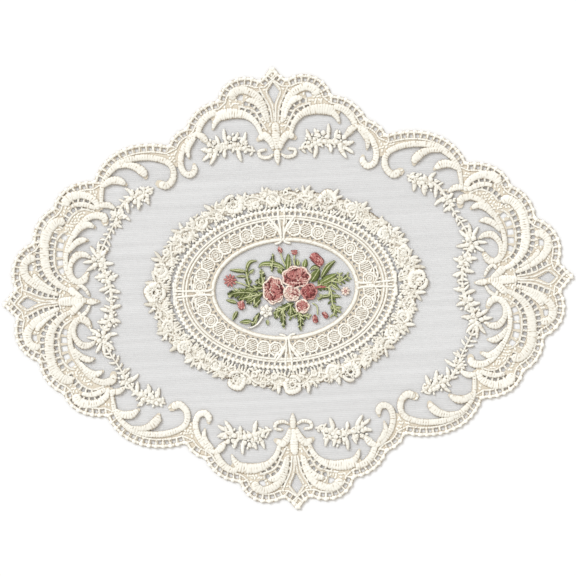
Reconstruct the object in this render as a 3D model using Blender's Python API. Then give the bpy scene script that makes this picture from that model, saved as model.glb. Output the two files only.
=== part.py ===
"""Embroidered lace doily, laid flat.

A sheer organza ground carries satin stitch lace: a scalloped, pierced border of
scrolls, plumes and leaves, four corner sprays, two side garlands, a wreath, an
oval medallion ring, and a coloured bouquet in the ring's window.

Tables are in millimetres, and lengths become metres as each mesh is made. x runs
to the east tip and y to the north tip. The tables chart the north-east quarter,
and place() carries them to each of the four quarters.
"""
import math
from typing import NamedTuple

import bmesh
import bpy
from mathutils.geometry import delaunay_2d_cdt

MM = 0.001

# Reach of the four arms from the centre of the ring.
EAST_REACH = 201.4
WEST_REACH = 197.2
NORTH_REACH = 155.8
SOUTH_REACH = 152.4
AXIS_SKEW = 0.009  # sideways run of the north-south axis, for each mm of it

# Heights above the surface that the doily lies on.
GROUND_TOP = 1.0
LAYER_GAP = 0.3
STITCH_FLOOR = GROUND_TOP + LAYER_GAP
WEB_TOP = 1.9
CREST_TOP = 2.7
BLOOM_TOP = 3.2
NARROW_RISE = 0.45  # a thread-thin stroke's share of the crest's height
FULL_RISE_WIDTH = 11.0  # each mm of width adds the inverse of this

# Pierced edge.
PURL_PITCH = 4.7
PURL_LONG = 2.8
PURL_DEEP = 2.5
PURL_INSET = 3.8
BAR = 1.1
EDGE_BAND = 7.4
GROUND_INSET = 7.0

# Oval medallion ring and the wreath round it.
RING_WINDOW = (49.0, 33.0)
RING_OUTER = (78.4, 55.0)
ROSETTE_LINE = (62.0, 43.4)
ROSETTE_RADIUS = 4.2
ROSETTE_COUNT = 32
RING_STEPS = 48
WREATH_INNER = (79.8, 56.4)
WREATH_LINE = (88.0, 64.2)
RING_CENTRE_Y = 1.2

MOTIF_CLEAR = 0.8  # between the border and a spray or a garland

# Meshing.
ARC_STEP = 7.0
OVERRUN = 1.0
FINE_STEP = 2.0
MERGE = 0.0001
FLATTEN = 0.26
SHORTEST = 0.8
TWIN_REACH = 0.05
FLATTEN_ROUNDS = 8
CROSSING_REACH = 2.5
SMALLEST_GAP = 14.0
SMALLEST_CLUMP = 8.0
CREST_CLEAR = 0.9
CREST_APART = 2.4


class Quarter(NamedTuple):
    """One quarter of the doily, and how far its corner is pulled out."""

    name: str
    side: int
    end: int
    swell: float


class Scallop(NamedTuple):
    """An arc of the edge: where it ends, its bulge, and its lean to that end."""

    x: float
    y: float
    bulge: float
    lean: float


class Cell(NamedTuple):
    """A hole cut right through: its centre, its two widths and its turn."""

    x: float
    y: float
    across: float
    along: float
    turn: float


class Leaf(NamedTuple):
    """A pointed leaf: its base, its tip, its greatest width and its bow."""

    x: float
    y: float
    tip_x: float
    tip_y: float
    width: float
    bow: float


class Bloom(NamedTuple):
    """A domed flower: its centre, half widths, turn, petals and colour."""

    name: str
    x: float
    y: float
    half_x: float
    half_y: float
    turn: float
    petals: int
    colour: str


QUARTERS = (
    Quarter("north_east", 1, 1, 0.0),
    Quarter("north_west", -1, 1, -0.3),
    Quarter("south_west", -1, -1, 0.5),
    Quarter("south_east", 1, -1, 2.2),
)

NORTH_SOUTH = (QUARTERS[0], QUARTERS[3])
EAST_WEST = (QUARTERS[0], QUARTERS[1])

# From the north tip to the east tip.
SCALLOPS = (
    Scallop(9.6, 147.8, -0.2, 0.0),
    Scallop(40.4, 135.2, 8.4, 0.05),
    Scallop(64.2, 117.0, 4.2, 0.0),
    Scallop(77.1, 105.4, 2.2, 0.0),
    Scallop(132.0, 83.2, 11.7, 0.15),
    Scallop(162.3, 65.8, 6.4, 0.15),
    Scallop(178.2, 42.2, 4.2, 0.0),
    Scallop(192.6, 10.2, 7.8, 0.0),
    Scallop(EAST_REACH, 0.0, 0.3, 0.0),
)

# Satin stitch strokes of the border: x, y and width at each point of the route.
STROKES = {
    "lozenge_cord": ((0.4, 118, 1.4), (1.3, 130, 1.4), (5.0, 139.6, 1.4), (0, 147.0, 1.4)),
    "fan_cord": ((2.0, 118, 1.4), (3.6, 129, 1.4), (8.0, 138, 1.4), (10.4, 143.2, 1.4)),
    "fan_plume": ((4.6, 117.5, 2.2), (7.6, 129, 4.4), (13.0, 137.6, 5.4), (22.4, 141.9, 5.6),
                  (28.8, 139.4, 6.6), (29.4, 135.0, 7.0)),
    "fan_plume_inner": ((6.2, 118.5, 1.6), (9.6, 128.2, 3.4), (14.4, 133.4, 4.4),
                        (20.0, 134.4, 3.2)),
    "fan_rib": ((6.0, 112, 1.5), (10.6, 120, 1.5), (15.4, 127.0, 1.5), (26, 130.6, 1.5)),
    "arch": ((9.4, 107, 2.6), (13.0, 116.8, 3.6), (19.2, 123.0, 4.8), (27.4, 125.6, 6.6),
             (36.0, 125.4, 7.6), (43.0, 123.2, 6.2)),
    "arch_spur": ((38.4, 124.6, 5.0), (42.8, 120.2, 4.0), (44.8, 115.4, 1.8)),
    "arch_end": ((41.4, 127.2, 4.0), (48.6, 124.6, 5.0), (53.4, 119.0, 4.6), (56.2, 112.6, 4.2)),
    "arch_leaf": ((56.6, 112.4, 3.4), (52.4, 110.2, 4.8), (49.0, 106.2, 2.4)),
    "scroll": ((55.0, 114.0, 3.0), (62.2, 108.9, 4.2), (67.6, 101.0, 4.2), (69.4, 92.6, 4.2),
               (67.2, 86.0, 4.4), (62.4, 84.4, 4.6), (59.6, 87.6, 4.4), (59.8, 91.2, 2.8)),
    "scroll_leaf": ((57.8, 110.4, 2.6), (62.0, 105.8, 4.2), (63.8, 100.8, 3.4), (63.0, 96.0, 1.8)),
    "arc": ((85.6, 79.2, 5.6), (80.0, 77.6, 5.2), (75.4, 82.2, 4.6), (75.2, 89.4, 4.2),
            (80.0, 94.6, 4.2), (92.0, 97.9, 4.4), (106.8, 96.8, 4.2), (118.4, 90.6, 3.8),
            (126.0, 80.4, 3.4), (127.8, 64.0, 2.6)),
    "arc_leaf_upper": ((115.4, 91.9, 2.0), (107.8, 93.2, 3.8), (101.0, 91.4, 5.6),
                       (96.6, 87.6, 5.8), (95.0, 84.2, 3.2)),
    "arc_leaf_middle": ((126.0, 78.9, 2.6), (120.6, 82.6, 5.0), (114.6, 82.8, 5.6),
                        (109.4, 79.8, 2.8)),
    "arc_leaf_lower": ((128.8, 65.8, 3.4), (123.0, 66.0, 4.4), (118.0, 63.2, 2.2)),
    "tip_lozenge_cord": ((162.4, 0.5, 1.4), (174.6, 1.4, 1.4), (184.6, 4.9, 1.4), (191.4, 0, 1.4)),
    "tip_cord": ((162.4, 2.1, 1.4), (173.6, 3.7, 1.4), (182.8, 7.7, 1.4), (188.8, 10.2, 1.4)),
    "tip_plume": ((161.6, 4.6, 2.4), (170.2, 8.2, 4.0), (179.0, 13.4, 5.4), (184.9, 20.0, 5.8),
                  (185.2, 27.0, 5.8), (181.0, 31.0, 5.6), (176.4, 30.6, 5.2)),
    "tip_plume_inner": ((164.8, 8.4, 1.6), (171.8, 12.6, 3.0), (177.2, 17.2, 3.8),
                        (178.4, 20.4, 3.0)),
    "side_plume": ((151.6, 6.6, 2.4), (159.8, 10.8, 4.2), (166.6, 17.6, 5.6), (169.8, 26.0, 6.4),
                   (170.2, 36.0, 6.6), (168.4, 46.0, 6.6), (163.6, 53.4, 6.4), (158.6, 56.2, 6.2),
                   (154.4, 54.6, 6.0)),
    "side_rib": ((152.6, 12.8, 1.5), (160.2, 18.4, 1.5), (163.4, 28, 1.5), (161.8, 41, 1.5),
                 (157.2, 47.4, 1.5), (152.6, 49.2, 1.5)),
    "side_scroll": ((149.8, 12.0, 2.8), (154.6, 20, 3.4), (155.4, 29, 3.6), (153.4, 37.6, 3.6),
                    (149.0, 46.0, 3.6), (142.6, 54.2, 3.8), (134.6, 58.9, 4.6),
                    (127.0, 58.0, 5.6), (125.6, 53.6, 4.8)),
    "side_hook": ((140.6, 18.6, 3.6), (143.4, 14.4, 5.2), (148.4, 13.6, 4.2), (152.0, 18.4, 3.4),
                  (152.0, 25.6, 3.6), (147.4, 31.6, 5.0), (141.6, 32.0, 4.0), (137.4, 29.6, 1.8)),
    "side_leaf_middle": ((152.8, 34.0, 2.2), (148.6, 39.4, 4.2), (143.4, 42.2, 4.6),
                         (138.8, 42.0, 2.0)),
    "side_leaf_upper": ((149.2, 43.8, 2.2), (144.4, 50.0, 4.2), (138.6, 53.0, 4.6),
                        (133.4, 51.0, 2.4)),
    "shoulder_plume": ((129.8, 63.0, 3.0), (132.2, 69.4, 4.6), (138.4, 73.4, 5.2),
                       (145.4, 74.0, 6.0), (151.6, 71.4, 6.8), (154.0, 66.4, 7.0)),
    "shoulder_plume_inner": ((131.4, 63.8, 3.0), (138.0, 66.6, 3.8), (144.0, 67.4, 3.4),
                             (149.2, 66.2, 2.6)),
    "shoulder_rib": ((132.4, 61.6, 1.5), (140.6, 63.8, 1.5), (148.2, 60.4, 1.5), (152.8, 54.6, 1.5)),
    "cup_leaf": ((2.4, 99.0, 2.4), (4.4, 105.0, 4.6), (8.2, 109.0, 5.6), (12.8, 106.6, 3.6)),
    "cup_loop": ((3.0, 95.4, 1.8), (7.0, 93.4, 2.4), (12.0, 94.6, 2.6), (12.6, 98.2, 2.2),
                 (8.0, 99.2, 2.0)),
    "side_cup_leaf": ((144.6, 2.0, 2.4), (149.6, 4.8, 5.0), (154.2, 9.4, 5.4)),
    "side_cup_loop": ((140.0, 3.4, 1.8), (142.6, 8.0, 2.6), (146.4, 10.6, 2.6), (148.6, 7.6, 2.2)),
}

# Strokes that lie on the axes, one for each arm.
END_STROKES = {
    "end_stem": ((0, 99.0, 4.0), (0, 108.0, 6.0), (0, 118.0, 5.0)),
    "end_bud": ((0, 99.0, 3.6), (0, 94.0, 4.4), (0.2, 88.6, 1.8)),
}
SIDE_STROKES = {
    "side_stem": ((142.0, 0, 4.0), (151.0, 0, 7.0), (163.0, 0, 5.0)),
    "side_bud": ((142.0, -0.8, 3.8), (137.4, -1.0, 4.4), (133.0, -1.2, 1.8)),
}

# Plain stitched web between the strokes.
WEBS = {
    "fan_web": ((-1, 110), (-1, 152), (9, 148), (30, 147), (42, 135), (44, 125), (28, 127),
                (15, 119), (9, 108)),
    "shoulder_web": ((44, 126), (42, 134), (62, 117), (58, 113), (54, 120)),
    "notch_web": ((66, 108), (76, 105), (84, 100), (77, 92), (71, 90)),
    "side_web": ((150, 8), (155, 20), (155, 32), (149, 47), (141, 58), (129, 62), (127, 78),
                 (133, 82), (160, 66), (176, 44), (190, 24), (190, 11), (199, -1), (150, -1)),
}

# Furrows between the strokes of the web.
FURROWS = {
    "fan_furrow_outer": ((4.0, 122), (7.4, 132), (11.4, 139.6)),
    "fan_furrow_inner": ((9.8, 121), (12.8, 128.6), (17.6, 131.8), (22.6, 132.0)),
    "fan_furrow_low": ((10.0, 114), (14.2, 121.6), (18.6, 126.4), (25.0, 129.0)),
    "tip_furrow_outer": ((161.0, 3.4), (173.0, 6.0), (184.4, 10.4)),
    "tip_furrow_inner": ((164.0, 7.0), (173.6, 11.4), (179.4, 16.2)),
    "side_furrow_outer": ((160.0, 7.6), (168.0, 13.6), (174.2, 22.6), (175.2, 33.0),
                          (173.0, 44.0), (168.2, 54.4)),
    "side_furrow_inner": ((158.6, 14.8), (164.8, 21.6), (166.0, 30.0), (164.6, 40.0),
                          (161.0, 48.6)),
    "shoulder_furrow_outer": ((132.4, 66.2), (139.4, 70.0), (146.6, 70.6), (151.6, 68.0)),
    "shoulder_furrow_inner": ((133.4, 63.0), (140.4, 64.9), (147.0, 64.0), (152.4, 59.4),
                              (157.4, 52.0)),
}

# Open cells, cut through the web and the ground.
CELLS = (
    Cell(24.4, 136.6, 4.4, 4.2, 10),
    Cell(155.4, 45.0, 4.4, 4.0, 35),
    Cell(158.6, 39.4, 4.6, 4.2, 20),
    Cell(159.6, 33.4, 4.6, 4.4, 5),
    Cell(159.6, 27.4, 4.6, 4.4, -5),
    Cell(159.0, 21.6, 4.4, 4.2, -25),
    Cell(181.0, 24.8, 4.2, 4.6, -5),
)

# Windows on the axes, where the ground shows through the border.
END_WINDOW = ((0, 130.5), (4.2, 139.4), (0, 145.6), (-4.2, 139.4))
SIDE_WINDOW = ((176.5, 0), (184.6, 4.1), (189.8, 0), (184.6, -4.1))

# Corner spray: strokes, flower discs (x, y, radius) and leaves.
SPRAY_STROKES = {
    "spray_stem": ((15.0, 98.6, 2.4), (22.0, 100.0, 4.2), (32.0, 102.6, 5.6), (42.0, 101.6, 5.0),
                   (49.0, 98.0, 3.6)),
}
SPRAY_DISCS = ((32.4, 105.6, 4.6), (45.2, 102.8, 4.6), (24.8, 103.0, 3.8))
SPRAY_LEAVES = (
    Leaf(25.0, 103, 21.4, 112.4, 3.2, 0.4),
    Leaf(36.0, 105, 37.0, 115.6, 3.2, -0.4),
    Leaf(30.0, 106, 27.0, 112.6, 3.0, 0.3),
    Leaf(41.0, 104, 43.4, 111.0, 3.0, 0.3),
    Leaf(46.0, 104, 54.6, 108.6, 3.4, 0.6),
    Leaf(47.0, 101, 54.6, 101.8, 3.2, -0.4),
    Leaf(28.0, 101, 25.6, 91.6, 3.6, 0.4),
    Leaf(43.0, 101, 48.6, 90.4, 3.6, -0.5),
    Leaf(47.0, 98, 53.6, 93.4, 3.2, 0.3),
    Leaf(37.0, 101, 37.6, 94.6, 3.2, 0.3),
)

# Side garland, one half from the sprig down to the axis.
GARLAND_STROKES = {
    "sprig": ((89.5, 76.6, 2.0), (96.0, 73.4, 4.4), (103.0, 71.6, 4.8), (109.4, 68.6, 3.6),
              (114.6, 62.6, 3.2), (118.6, 54.0, 2.4), (123.0, 46.0, 1.9), (127.6, 38.0, 2.2),
              (131.4, 28.0, 3.4), (128.6, 19.0, 3.6), (125.0, 10.0, 3.8), (124.0, 0, 3.4)),
}
GARLAND_DISCS = ((96.6, 73.2, 4.0), (103.4, 70.4, 4.6), (117.0, 58.0, 3.6), (132.0, 27.0, 4.8),
                 (126.6, 15.0, 4.4))
GARLAND_LEAVES = (
    Leaf(95.0, 73, 93.6, 64.6, 3.4, 0.4),
    Leaf(101.0, 70, 101.6, 61.4, 3.4, -0.4),
    Leaf(104.0, 72, 110.4, 77.4, 3.0, 0.4),
    Leaf(109.0, 68, 108.6, 59.4, 3.2, 0.4),
    Leaf(115.0, 60, 107.6, 54.2, 3.0, -0.3),
    Leaf(117.0, 58, 121.6, 62.0, 2.8, 0.3),
    Leaf(119.0, 54, 113.6, 49.6, 2.8, 0.3),
    Leaf(131.0, 30, 124.0, 36.4, 3.2, 0.4),
    Leaf(131.6, 30, 131.0, 41.0, 3.0, -0.3),
    Leaf(133.0, 30, 137.6, 38.0, 3.0, 0.4),
    Leaf(134.0, 27, 143.4, 26.4, 3.0, 0.3),
    Leaf(134.0, 25, 141.0, 20.6, 3.2, -0.3),
    Leaf(130.0, 26, 121.0, 25.0, 3.2, 0.4),
    Leaf(127.0, 16, 135.6, 15.6, 3.4, 0.3),
    Leaf(126.0, 14, 118.4, 17.0, 3.2, 0.3),
    Leaf(125.0, 9, 133.0, 6.4, 3.4, -0.3),
    Leaf(125.0, 7, 117.4, 4.6, 3.4, 0.3),
)

# Wreath: roses on a band, and leaves that a formula spreads round it.
WREATH_ROSES = (
    Bloom("east", 93.0, 3.0, 8.0, 8.4, 0, 5, "ecru"),
    Bloom("west", -91.0, 3.0, 8.0, 8.4, 0, 5, "ecru"),
    Bloom("north_east", 33.0, 62.0, 7.8, 7.4, 0, 5, "ecru"),
    Bloom("north_west", -33.0, 62.0, 7.8, 7.4, 0, 5, "ecru"),
    Bloom("south", 2.0, -66.0, 7.6, 7.4, 0, 5, "ecru"),
    Bloom("south_west", -37.0, -61.0, 7.8, 7.4, 0, 5, "ecru"),
    Bloom("south_east", 43.0, -59.0, 7.8, 7.4, 0, 5, "ecru"),
)
WREATH_LEAVES = 44
WREATH_LEAF_WIDTH = 7.4
WREATH_REACH = (5.0, 6.5)
WREATH_END_REACH = 4.0
WREATH_BAND = 11.0
BAND_TOP = WEB_TOP + 0.3
ROSE_ROLL = 2.4

# Bouquet in the ring's window.
BLOOMS = (
    Bloom("rose_left", -8.0, -0.6, 6.8, 8.6, 0, 7, "rose"),
    Bloom("rose_top", 8.2, 8.7, 9.0, 6.9, 0, 7, "rose"),
    Bloom("rose_pale", 4.7, -3.9, 5.2, 4.9, 0, 6, "pale_rose"),
    Bloom("rose_right", 16.6, -2.8, 4.9, 4.9, 0, 6, "rose"),
    Bloom("rose_small", 11.5, -12.8, 4.2, 4.2, 0, 5, "rose"),
    Bloom("bud_large", 23.3, 19.5, 6.0, 3.7, -48, 5, "rose"),
    Bloom("bud_top_left", -2.1, 27.2, 2.5, 1.7, 110, 4, "rose"),
    Bloom("bud_top_right", 7.9, 25.0, 2.3, 1.9, 0, 4, "rose"),
    Bloom("bud_left", -31.2, -10.0, 3.4, 2.7, 100, 4, "rose"),
    Bloom("bud_low", 20.0, -22.2, 3.2, 2.0, 98, 4, "rose"),
    Bloom("bud_low_right", 27.3, -19.9, 2.8, 1.9, -60, 4, "rose"),
    Bloom("bloom_white", -13.9, -14.8, 4.9, 4.8, 0, 5, "ecru"),
    Bloom("star_left", -38.1, 7.7, 3.9, 4.3, 0, 5, "ecru"),
    Bloom("bud_cream", 42.2, -3.7, 3.5, 3.0, -30, 4, "pale_rose"),
)
PETAL_DENT = 0.07
CROWN_SHARE = 0.55
HEART_DIP = 0.3
BLOOM_CLEAR = 0.6
FOLIAGE = {
    "foliage_left": (
        Leaf(-14.0, 0, -40.4, -2.0, 7.0, 1.4),
        Leaf(-14.0, 1, -26.5, -9.0, 6.5, -1.2),
        Leaf(-29.0, -5.5, -43.0, -5.4, 3.4, 0.5),
        Leaf(-15.0, 3, -36.0, 6.8, 3.6, 2.0),
        Leaf(-20.0, 2, -26.6, 13.8, 4.0, -0.8),
        Leaf(-25.6, 12.6, -18.6, 21.0, 3.4, 1.4),
        Leaf(-25.0, 13.4, -38.6, 15.8, 3.2, 0.3),
        Leaf(-24.0, 9.4, -34.2, 10.4, 2.6, 0.3),
        Leaf(-14.6, 3.5, -15.9, 16.2, 5.0, 0.3),
        Leaf(0.2, 14.8, -18.6, 16.0, 3.6, -3.2),
        Leaf(-8.6, 12, -7.0, 25.0, 3.2, 0.3),
        Leaf(-1.2, 8, -2.8, 17.4, 5.0, 0.4),
        Leaf(3.4, 14, 2.0, 24.0, 3.4, 0.3),
        Leaf(-31.6, -12, -37.2, -19.8, 3.0, 0.3),
    ),
    "foliage_right": (
        Leaf(19.6, 1, 24.8, 12.0, 7.0, 0.8),
        Leaf(21.0, 1, 31.8, 6.8, 4.6, 0.6),
        Leaf(25.4, 5, 36.2, 18.4, 4.0, -0.8),
        Leaf(25.0, 12.6, 17.0, 12.2, 2.8, 0.3),
        Leaf(27.0, 4.6, 37.2, 8.4, 3.4, 0.4),
        Leaf(27.0, 2, 46.0, 7.4, 3.4, -2.0),
        Leaf(20.0, -0.6, 33.0, -1.2, 2.8, 1.2),
        Leaf(31.6, 0.6, 33.0, -20.8, 3.0, 0.6),
        Leaf(32.4, -6.4, 39.8, -7.2, 2.6, 0.4),
        Leaf(33.0, -13.4, 39.2, -17.2, 4.0, 0.3),
        Leaf(31.6, -5.6, 25.0, -8.4, 2.6, 0.3),
        Leaf(9.6, 13, 9.2, 20.8, 3.0, 0.2),
        Leaf(14.6, 12, 16.8, 20.8, 3.6, 0.3),
    ),
    "foliage_low": (
        Leaf(13.0, -8, 24.0, -13.0, 3.0, 0.6),
        Leaf(23.2, -11.4, 21.6, -18.4, 2.6, 0.3),
        Leaf(-16.0, -17, -33.4, -22.2, 4.4, 0.8),
        Leaf(-17.0, -15, -25.0, -25.0, 5.0, 0.4),
        Leaf(2.0, -10, -9.8, -18.6, 6.0, 0.4),
        Leaf(0.0, -9.6, -2.2, -27.4, 5.0, 0.6),
        Leaf(9.8, -15, 9.8, -28.6, 5.0, 0.3),
        Leaf(2.0, -13, 16.6, -21.6, 6.0, 0.4),
    ),
}

COLOURS = {
    "organza": ((0.78, 0.79, 0.80), 0.55),
    "ecru": ((0.86, 0.82, 0.71), 0.72),
    "rose": ((0.42, 0.21, 0.19), 0.66),
    "pale_rose": ((0.62, 0.44, 0.39), 0.66),
    "leaf": ((0.17, 0.20, 0.065), 0.7),
}


def clear_scene():
    """Remove every object that the file starts with."""
    for item in list(bpy.data.objects):
        bpy.data.objects.remove(item, do_unlink=True)


def thread_material(name):
    """Return the named thread or cloth, as a Principled material."""
    colour, roughness = COLOURS[name]
    material = bpy.data.materials.new(name)
    material.use_nodes = True
    shader = material.node_tree.nodes["Principled BSDF"]
    shader.inputs["Base Color"].default_value = (*colour, 1.0)
    shader.inputs["Roughness"].default_value = roughness
    shader.inputs["Metallic"].default_value = 0.0
    material.diffuse_color = (*colour, 1.0)
    return material


# Plane geometry, in millimetres.


def place(point, quarter):
    """Carry a point of the charted quarter to the quarter given."""
    x = point[0] * (EAST_REACH if quarter.side > 0 else WEST_REACH) / EAST_REACH
    y = point[1] * (NORTH_REACH if quarter.end > 0 else SOUTH_REACH) / NORTH_REACH
    radius = math.hypot(x, y)
    spread = math.hypot(x / EAST_REACH, y / NORTH_REACH)
    push = quarter.swell * spread * 2 * x * y / radius ** 3
    x += x * push
    y += y * push
    return quarter.side * x - AXIS_SKEW * quarter.end * y, quarter.end * y


def smooth(route, steps):
    """Run a smooth curve through the route, and read it at even steps."""
    first = tuple(2 * a - b for a, b in zip(route[0], route[1]))
    last = tuple(2 * a - b for a, b in zip(route[-1], route[-2]))
    knots = (first, *route, last)
    points = []
    for index in range(1, len(knots) - 2):
        before, start, stop, after = knots[index - 1:index + 3]
        for step in range(steps):
            t = step / steps
            points.append(tuple(
                0.5 * (2 * q + (r - p) * t + (2 * p - 5 * q + 4 * r - s) * t * t
                       + (3 * q - p - 3 * r + s) * t ** 3)
                for p, q, r, s in zip(before, start, stop, after)))
    points.append(tuple(route[-1]))
    return points


def ellipse(half_x, half_y, count, centre=(0.0, 0.0), turn=0.0):
    """Return the points of an ellipse, turned by an angle in degrees."""
    lean = math.radians(turn)
    points = []
    for index in range(count):
        angle = math.tau * index / count
        x = half_x * math.cos(angle)
        y = half_y * math.sin(angle)
        points.append((centre[0] + x * math.cos(lean) - y * math.sin(lean),
                       centre[1] + x * math.sin(lean) + y * math.cos(lean)))
    return points


def block(centre, across, along, turn):
    """Return the four corners of an oblong, turned by an angle in degrees."""
    lean = math.radians(turn)
    corners = []
    for u, v in ((-0.5, -0.5), (0.5, -0.5), (0.5, 0.5), (-0.5, 0.5)):
        x = u * across
        y = v * along
        corners.append((centre[0] + x * math.cos(lean) - y * math.sin(lean),
                        centre[1] + x * math.sin(lean) + y * math.cos(lean)))
    return corners


def strip(left, right):
    """Return the triangles between two lines of points."""
    patches = []
    for index in range(len(left) - 1):
        patches.append((left[index], right[index], right[index + 1]))
        patches.append((left[index], right[index + 1], left[index + 1]))
    return patches


def ribbon(route):
    """Return a stroke's outline as a chain of three-sided patches and end caps."""
    left = []
    right = []
    for index, (x, y, width) in enumerate(route):
        ahead = route[min(index + 1, len(route) - 1)]
        behind = route[max(index - 1, 0)]
        run_x = ahead[0] - behind[0]
        run_y = ahead[1] - behind[1]
        half = 0.5 * width / math.hypot(run_x, run_y)
        left.append((x - run_y * half, y + run_x * half))
        right.append((x + run_y * half, y - run_x * half))
    patches = strip(left, right)
    for x, y, width in (route[0], route[-1]):
        patches.append(ellipse(width / 2, width / 2, 6, (x, y)))
    return patches


def leaf_outline(leaf):
    """Return the pointed outline of a leaf, and the route of its midrib."""
    run_x = leaf.tip_x - leaf.x
    run_y = leaf.tip_y - leaf.y
    length = math.hypot(run_x, run_y)
    across = (-run_y / length, run_x / length)
    profile = ((0.0, 0.40), (0.42, 1.0))
    left = []
    right = []
    rib = []
    for along, share in profile:
        bow = leaf.bow * 4 * along * (1 - along)
        for line, offset in ((left, share * leaf.width / 2), (right, -share * leaf.width / 2),
                             (rib, 0.0)):
            line.append((leaf.x + run_x * along + across[0] * (offset + bow),
                         leaf.y + run_y * along + across[1] * (offset + bow)))
    tip = (leaf.tip_x, leaf.tip_y)
    return [*right, tip, *reversed(left)], rib


def arm_tips():
    """Return the four tips of the doily."""
    return [place(point, quarter) for quarter in (QUARTERS[0], QUARTERS[2])
            for point in ((EAST_REACH, 0.0), (0.0, NORTH_REACH))]


def scallop_arc(start, scallop, inset, count):
    """Read a scallop's arc, moved inwards by the inset, from start to its end."""
    run_x = scallop.x - start[0]
    run_y = scallop.y - start[1]
    chord = math.hypot(run_x, run_y)
    along = (run_x / chord, run_y / chord)
    outward = (-along[1], along[0])
    bulge = abs(scallop.bulge)
    sign = math.copysign(1, scallop.bulge)
    radius = (chord ** 2 / 4 + bulge ** 2) / (2 * bulge)
    half = math.asin(min(1.0, chord / 2 / radius))
    points = []
    for index in range(count + 1):
        angle = half * (2 * index / count - 1)
        lean = 1 + scallop.lean * 2 * radius * math.sin(angle) / chord
        u = chord / 2 + (radius - sign * inset) * math.sin(angle)
        v = sign * (radius * math.cos(angle) - radius + bulge) * lean - inset * math.cos(angle)
        points.append((start[0] + along[0] * u + outward[0] * v,
                       start[1] + along[1] * u + outward[1] * v))
    return points


def scallop_arcs(inset, spacing):
    """Return the charted quarter's arcs, from the north tip to the east tip."""
    arcs = []
    start = (0.0, NORTH_REACH)
    for scallop in SCALLOPS:
        chord = math.hypot(scallop.x - start[0], scallop.y - start[1])
        count = max(1, round(chord / spacing))
        arcs.append(scallop_arc(start, scallop, inset, count))
        start = (scallop.x, scallop.y)
    return arcs


def doily_outline(spacing):
    """Return the whole scalloped outline, anticlockwise from the east tip."""
    outline = []
    for quarter in QUARTERS:
        chain = [place(point, quarter)
                 for arc in scallop_arcs(0.0, spacing) for point in arc[:-1]]
        chain.append(place((EAST_REACH, 0.0), quarter))
        if quarter.side * quarter.end > 0:
            chain.reverse()
        outline.extend(chain[:-1])
    return outline


def distance_to_loops(point, loops):
    """Return the least distance from a point to any side of the loops."""
    nearest = math.inf
    px, py = point
    for loop in loops:
        ax, ay = loop[-1]
        for bx, by in loop:
            dx = bx - ax
            dy = by - ay
            t = ((px - ax) * dx + (py - ay) * dy) / (dx * dx + dy * dy)
            t = min(1.0, max(0.0, t))
            gap = (px - ax - t * dx) ** 2 + (py - ay - t * dy) ** 2
            if gap < nearest:
                nearest = gap
            ax, ay = bx, by
    return math.sqrt(nearest)


def is_inside(point, loops):
    """Say whether a point lies in the loops, counted even and odd."""
    px, py = point
    inside = False
    for loop in loops:
        ax, ay = loop[-1]
        for bx, by in loop:
            if (ay > py) != (by > py) and px < ax + (py - ay) * (bx - ax) / (by - ay):
                inside = not inside
            ax, ay = bx, by
    return inside


def loop_area(loop):
    """Return a loop's area, positive where it runs anticlockwise."""
    onward = [*loop[1:], loop[0]]
    return 0.5 * sum(ax * by - bx * ay for (ax, ay), (bx, by) in zip(loop, onward))


def flatten_together(loops):
    """Flatten loops, but not where that would make them cross one another."""
    crossings = []
    for _ in range(FLATTEN_ROUNDS):
        flat = [flatten(loop, crossings) for loop in loops]
        points, _, sources, _ = triangulate(flat)
        crossed = [tuple(point) for point, source in zip(points, sources) if not source]
        if not crossed:
            return flat
        crossings.extend(crossed)
    return loops


def flatten(loop, crossings):
    """Drop the points of a loop that its shape doesn't need, away from crossings."""
    points = [a for a, b in zip(loop, [loop[-1], *loop]) if math.dist(a, b) > TWIN_REACH]
    fixed = {point for point in points
             if any(math.dist(point, other) < CROSSING_REACH for other in crossings)
             or any(math.dist(point, tip) < TWIN_REACH for tip in arm_tips())}
    changed = True
    while changed and len(points) > 4:
        changed = False
        kept = []
        skip = False
        for index, point in enumerate(points):
            if skip or point in fixed:
                skip = False
                kept.append(point)
                continue
            ax, ay = kept[-1] if kept else points[-1]
            bx, by = points[(index + 1) % len(points)]
            chord = math.hypot(bx - ax, by - ay)
            step = math.hypot(point[0] - ax, point[1] - ay)
            rise = abs((bx - ax) * (point[1] - ay) - (by - ay) * (point[0] - ax))
            limit = 2 * FLATTEN if step < SHORTEST else FLATTEN
            if chord > 0 and rise / chord < limit:
                changed = True
                skip = True
                continue
            kept.append(point)
        points = kept
    return points


def triangulate(polygons, extra_points=(), extra_edges=()):
    """Triangulate polygons together, and say which of them hold each triangle."""
    points = []
    faces = []
    for polygon in polygons:
        corners = list(range(len(points), len(points) + len(polygon)))
        points.extend(polygon)
        faces.append(corners if loop_area(polygon) > 0 else corners[::-1])
    start = len(points)
    points.extend(extra_points)
    edges = [(start + a, start + b) for a, b in extra_edges]
    result = delaunay_2d_cdt(points, edges, faces, 0, MERGE)
    return result[0], result[2], result[3], result[5]


def join(solids, holes=(), clip=None):
    """Join polygons into one region, less its holes, as flattened loops."""
    loops = boundary(solids, holes, clip)
    return flatten_together([loop for loop in loops if abs(loop_area(loop)) > SMALLEST_GAP])


def cut(loops, holes):
    """Cut small holes through a region, and return its loops."""
    solids = [loop for loop in loops if loop_area(loop) > 0]
    hollows = [loop for loop in loops if loop_area(loop) < 0]
    return boundary(solids, [*hollows, *holes])


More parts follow.
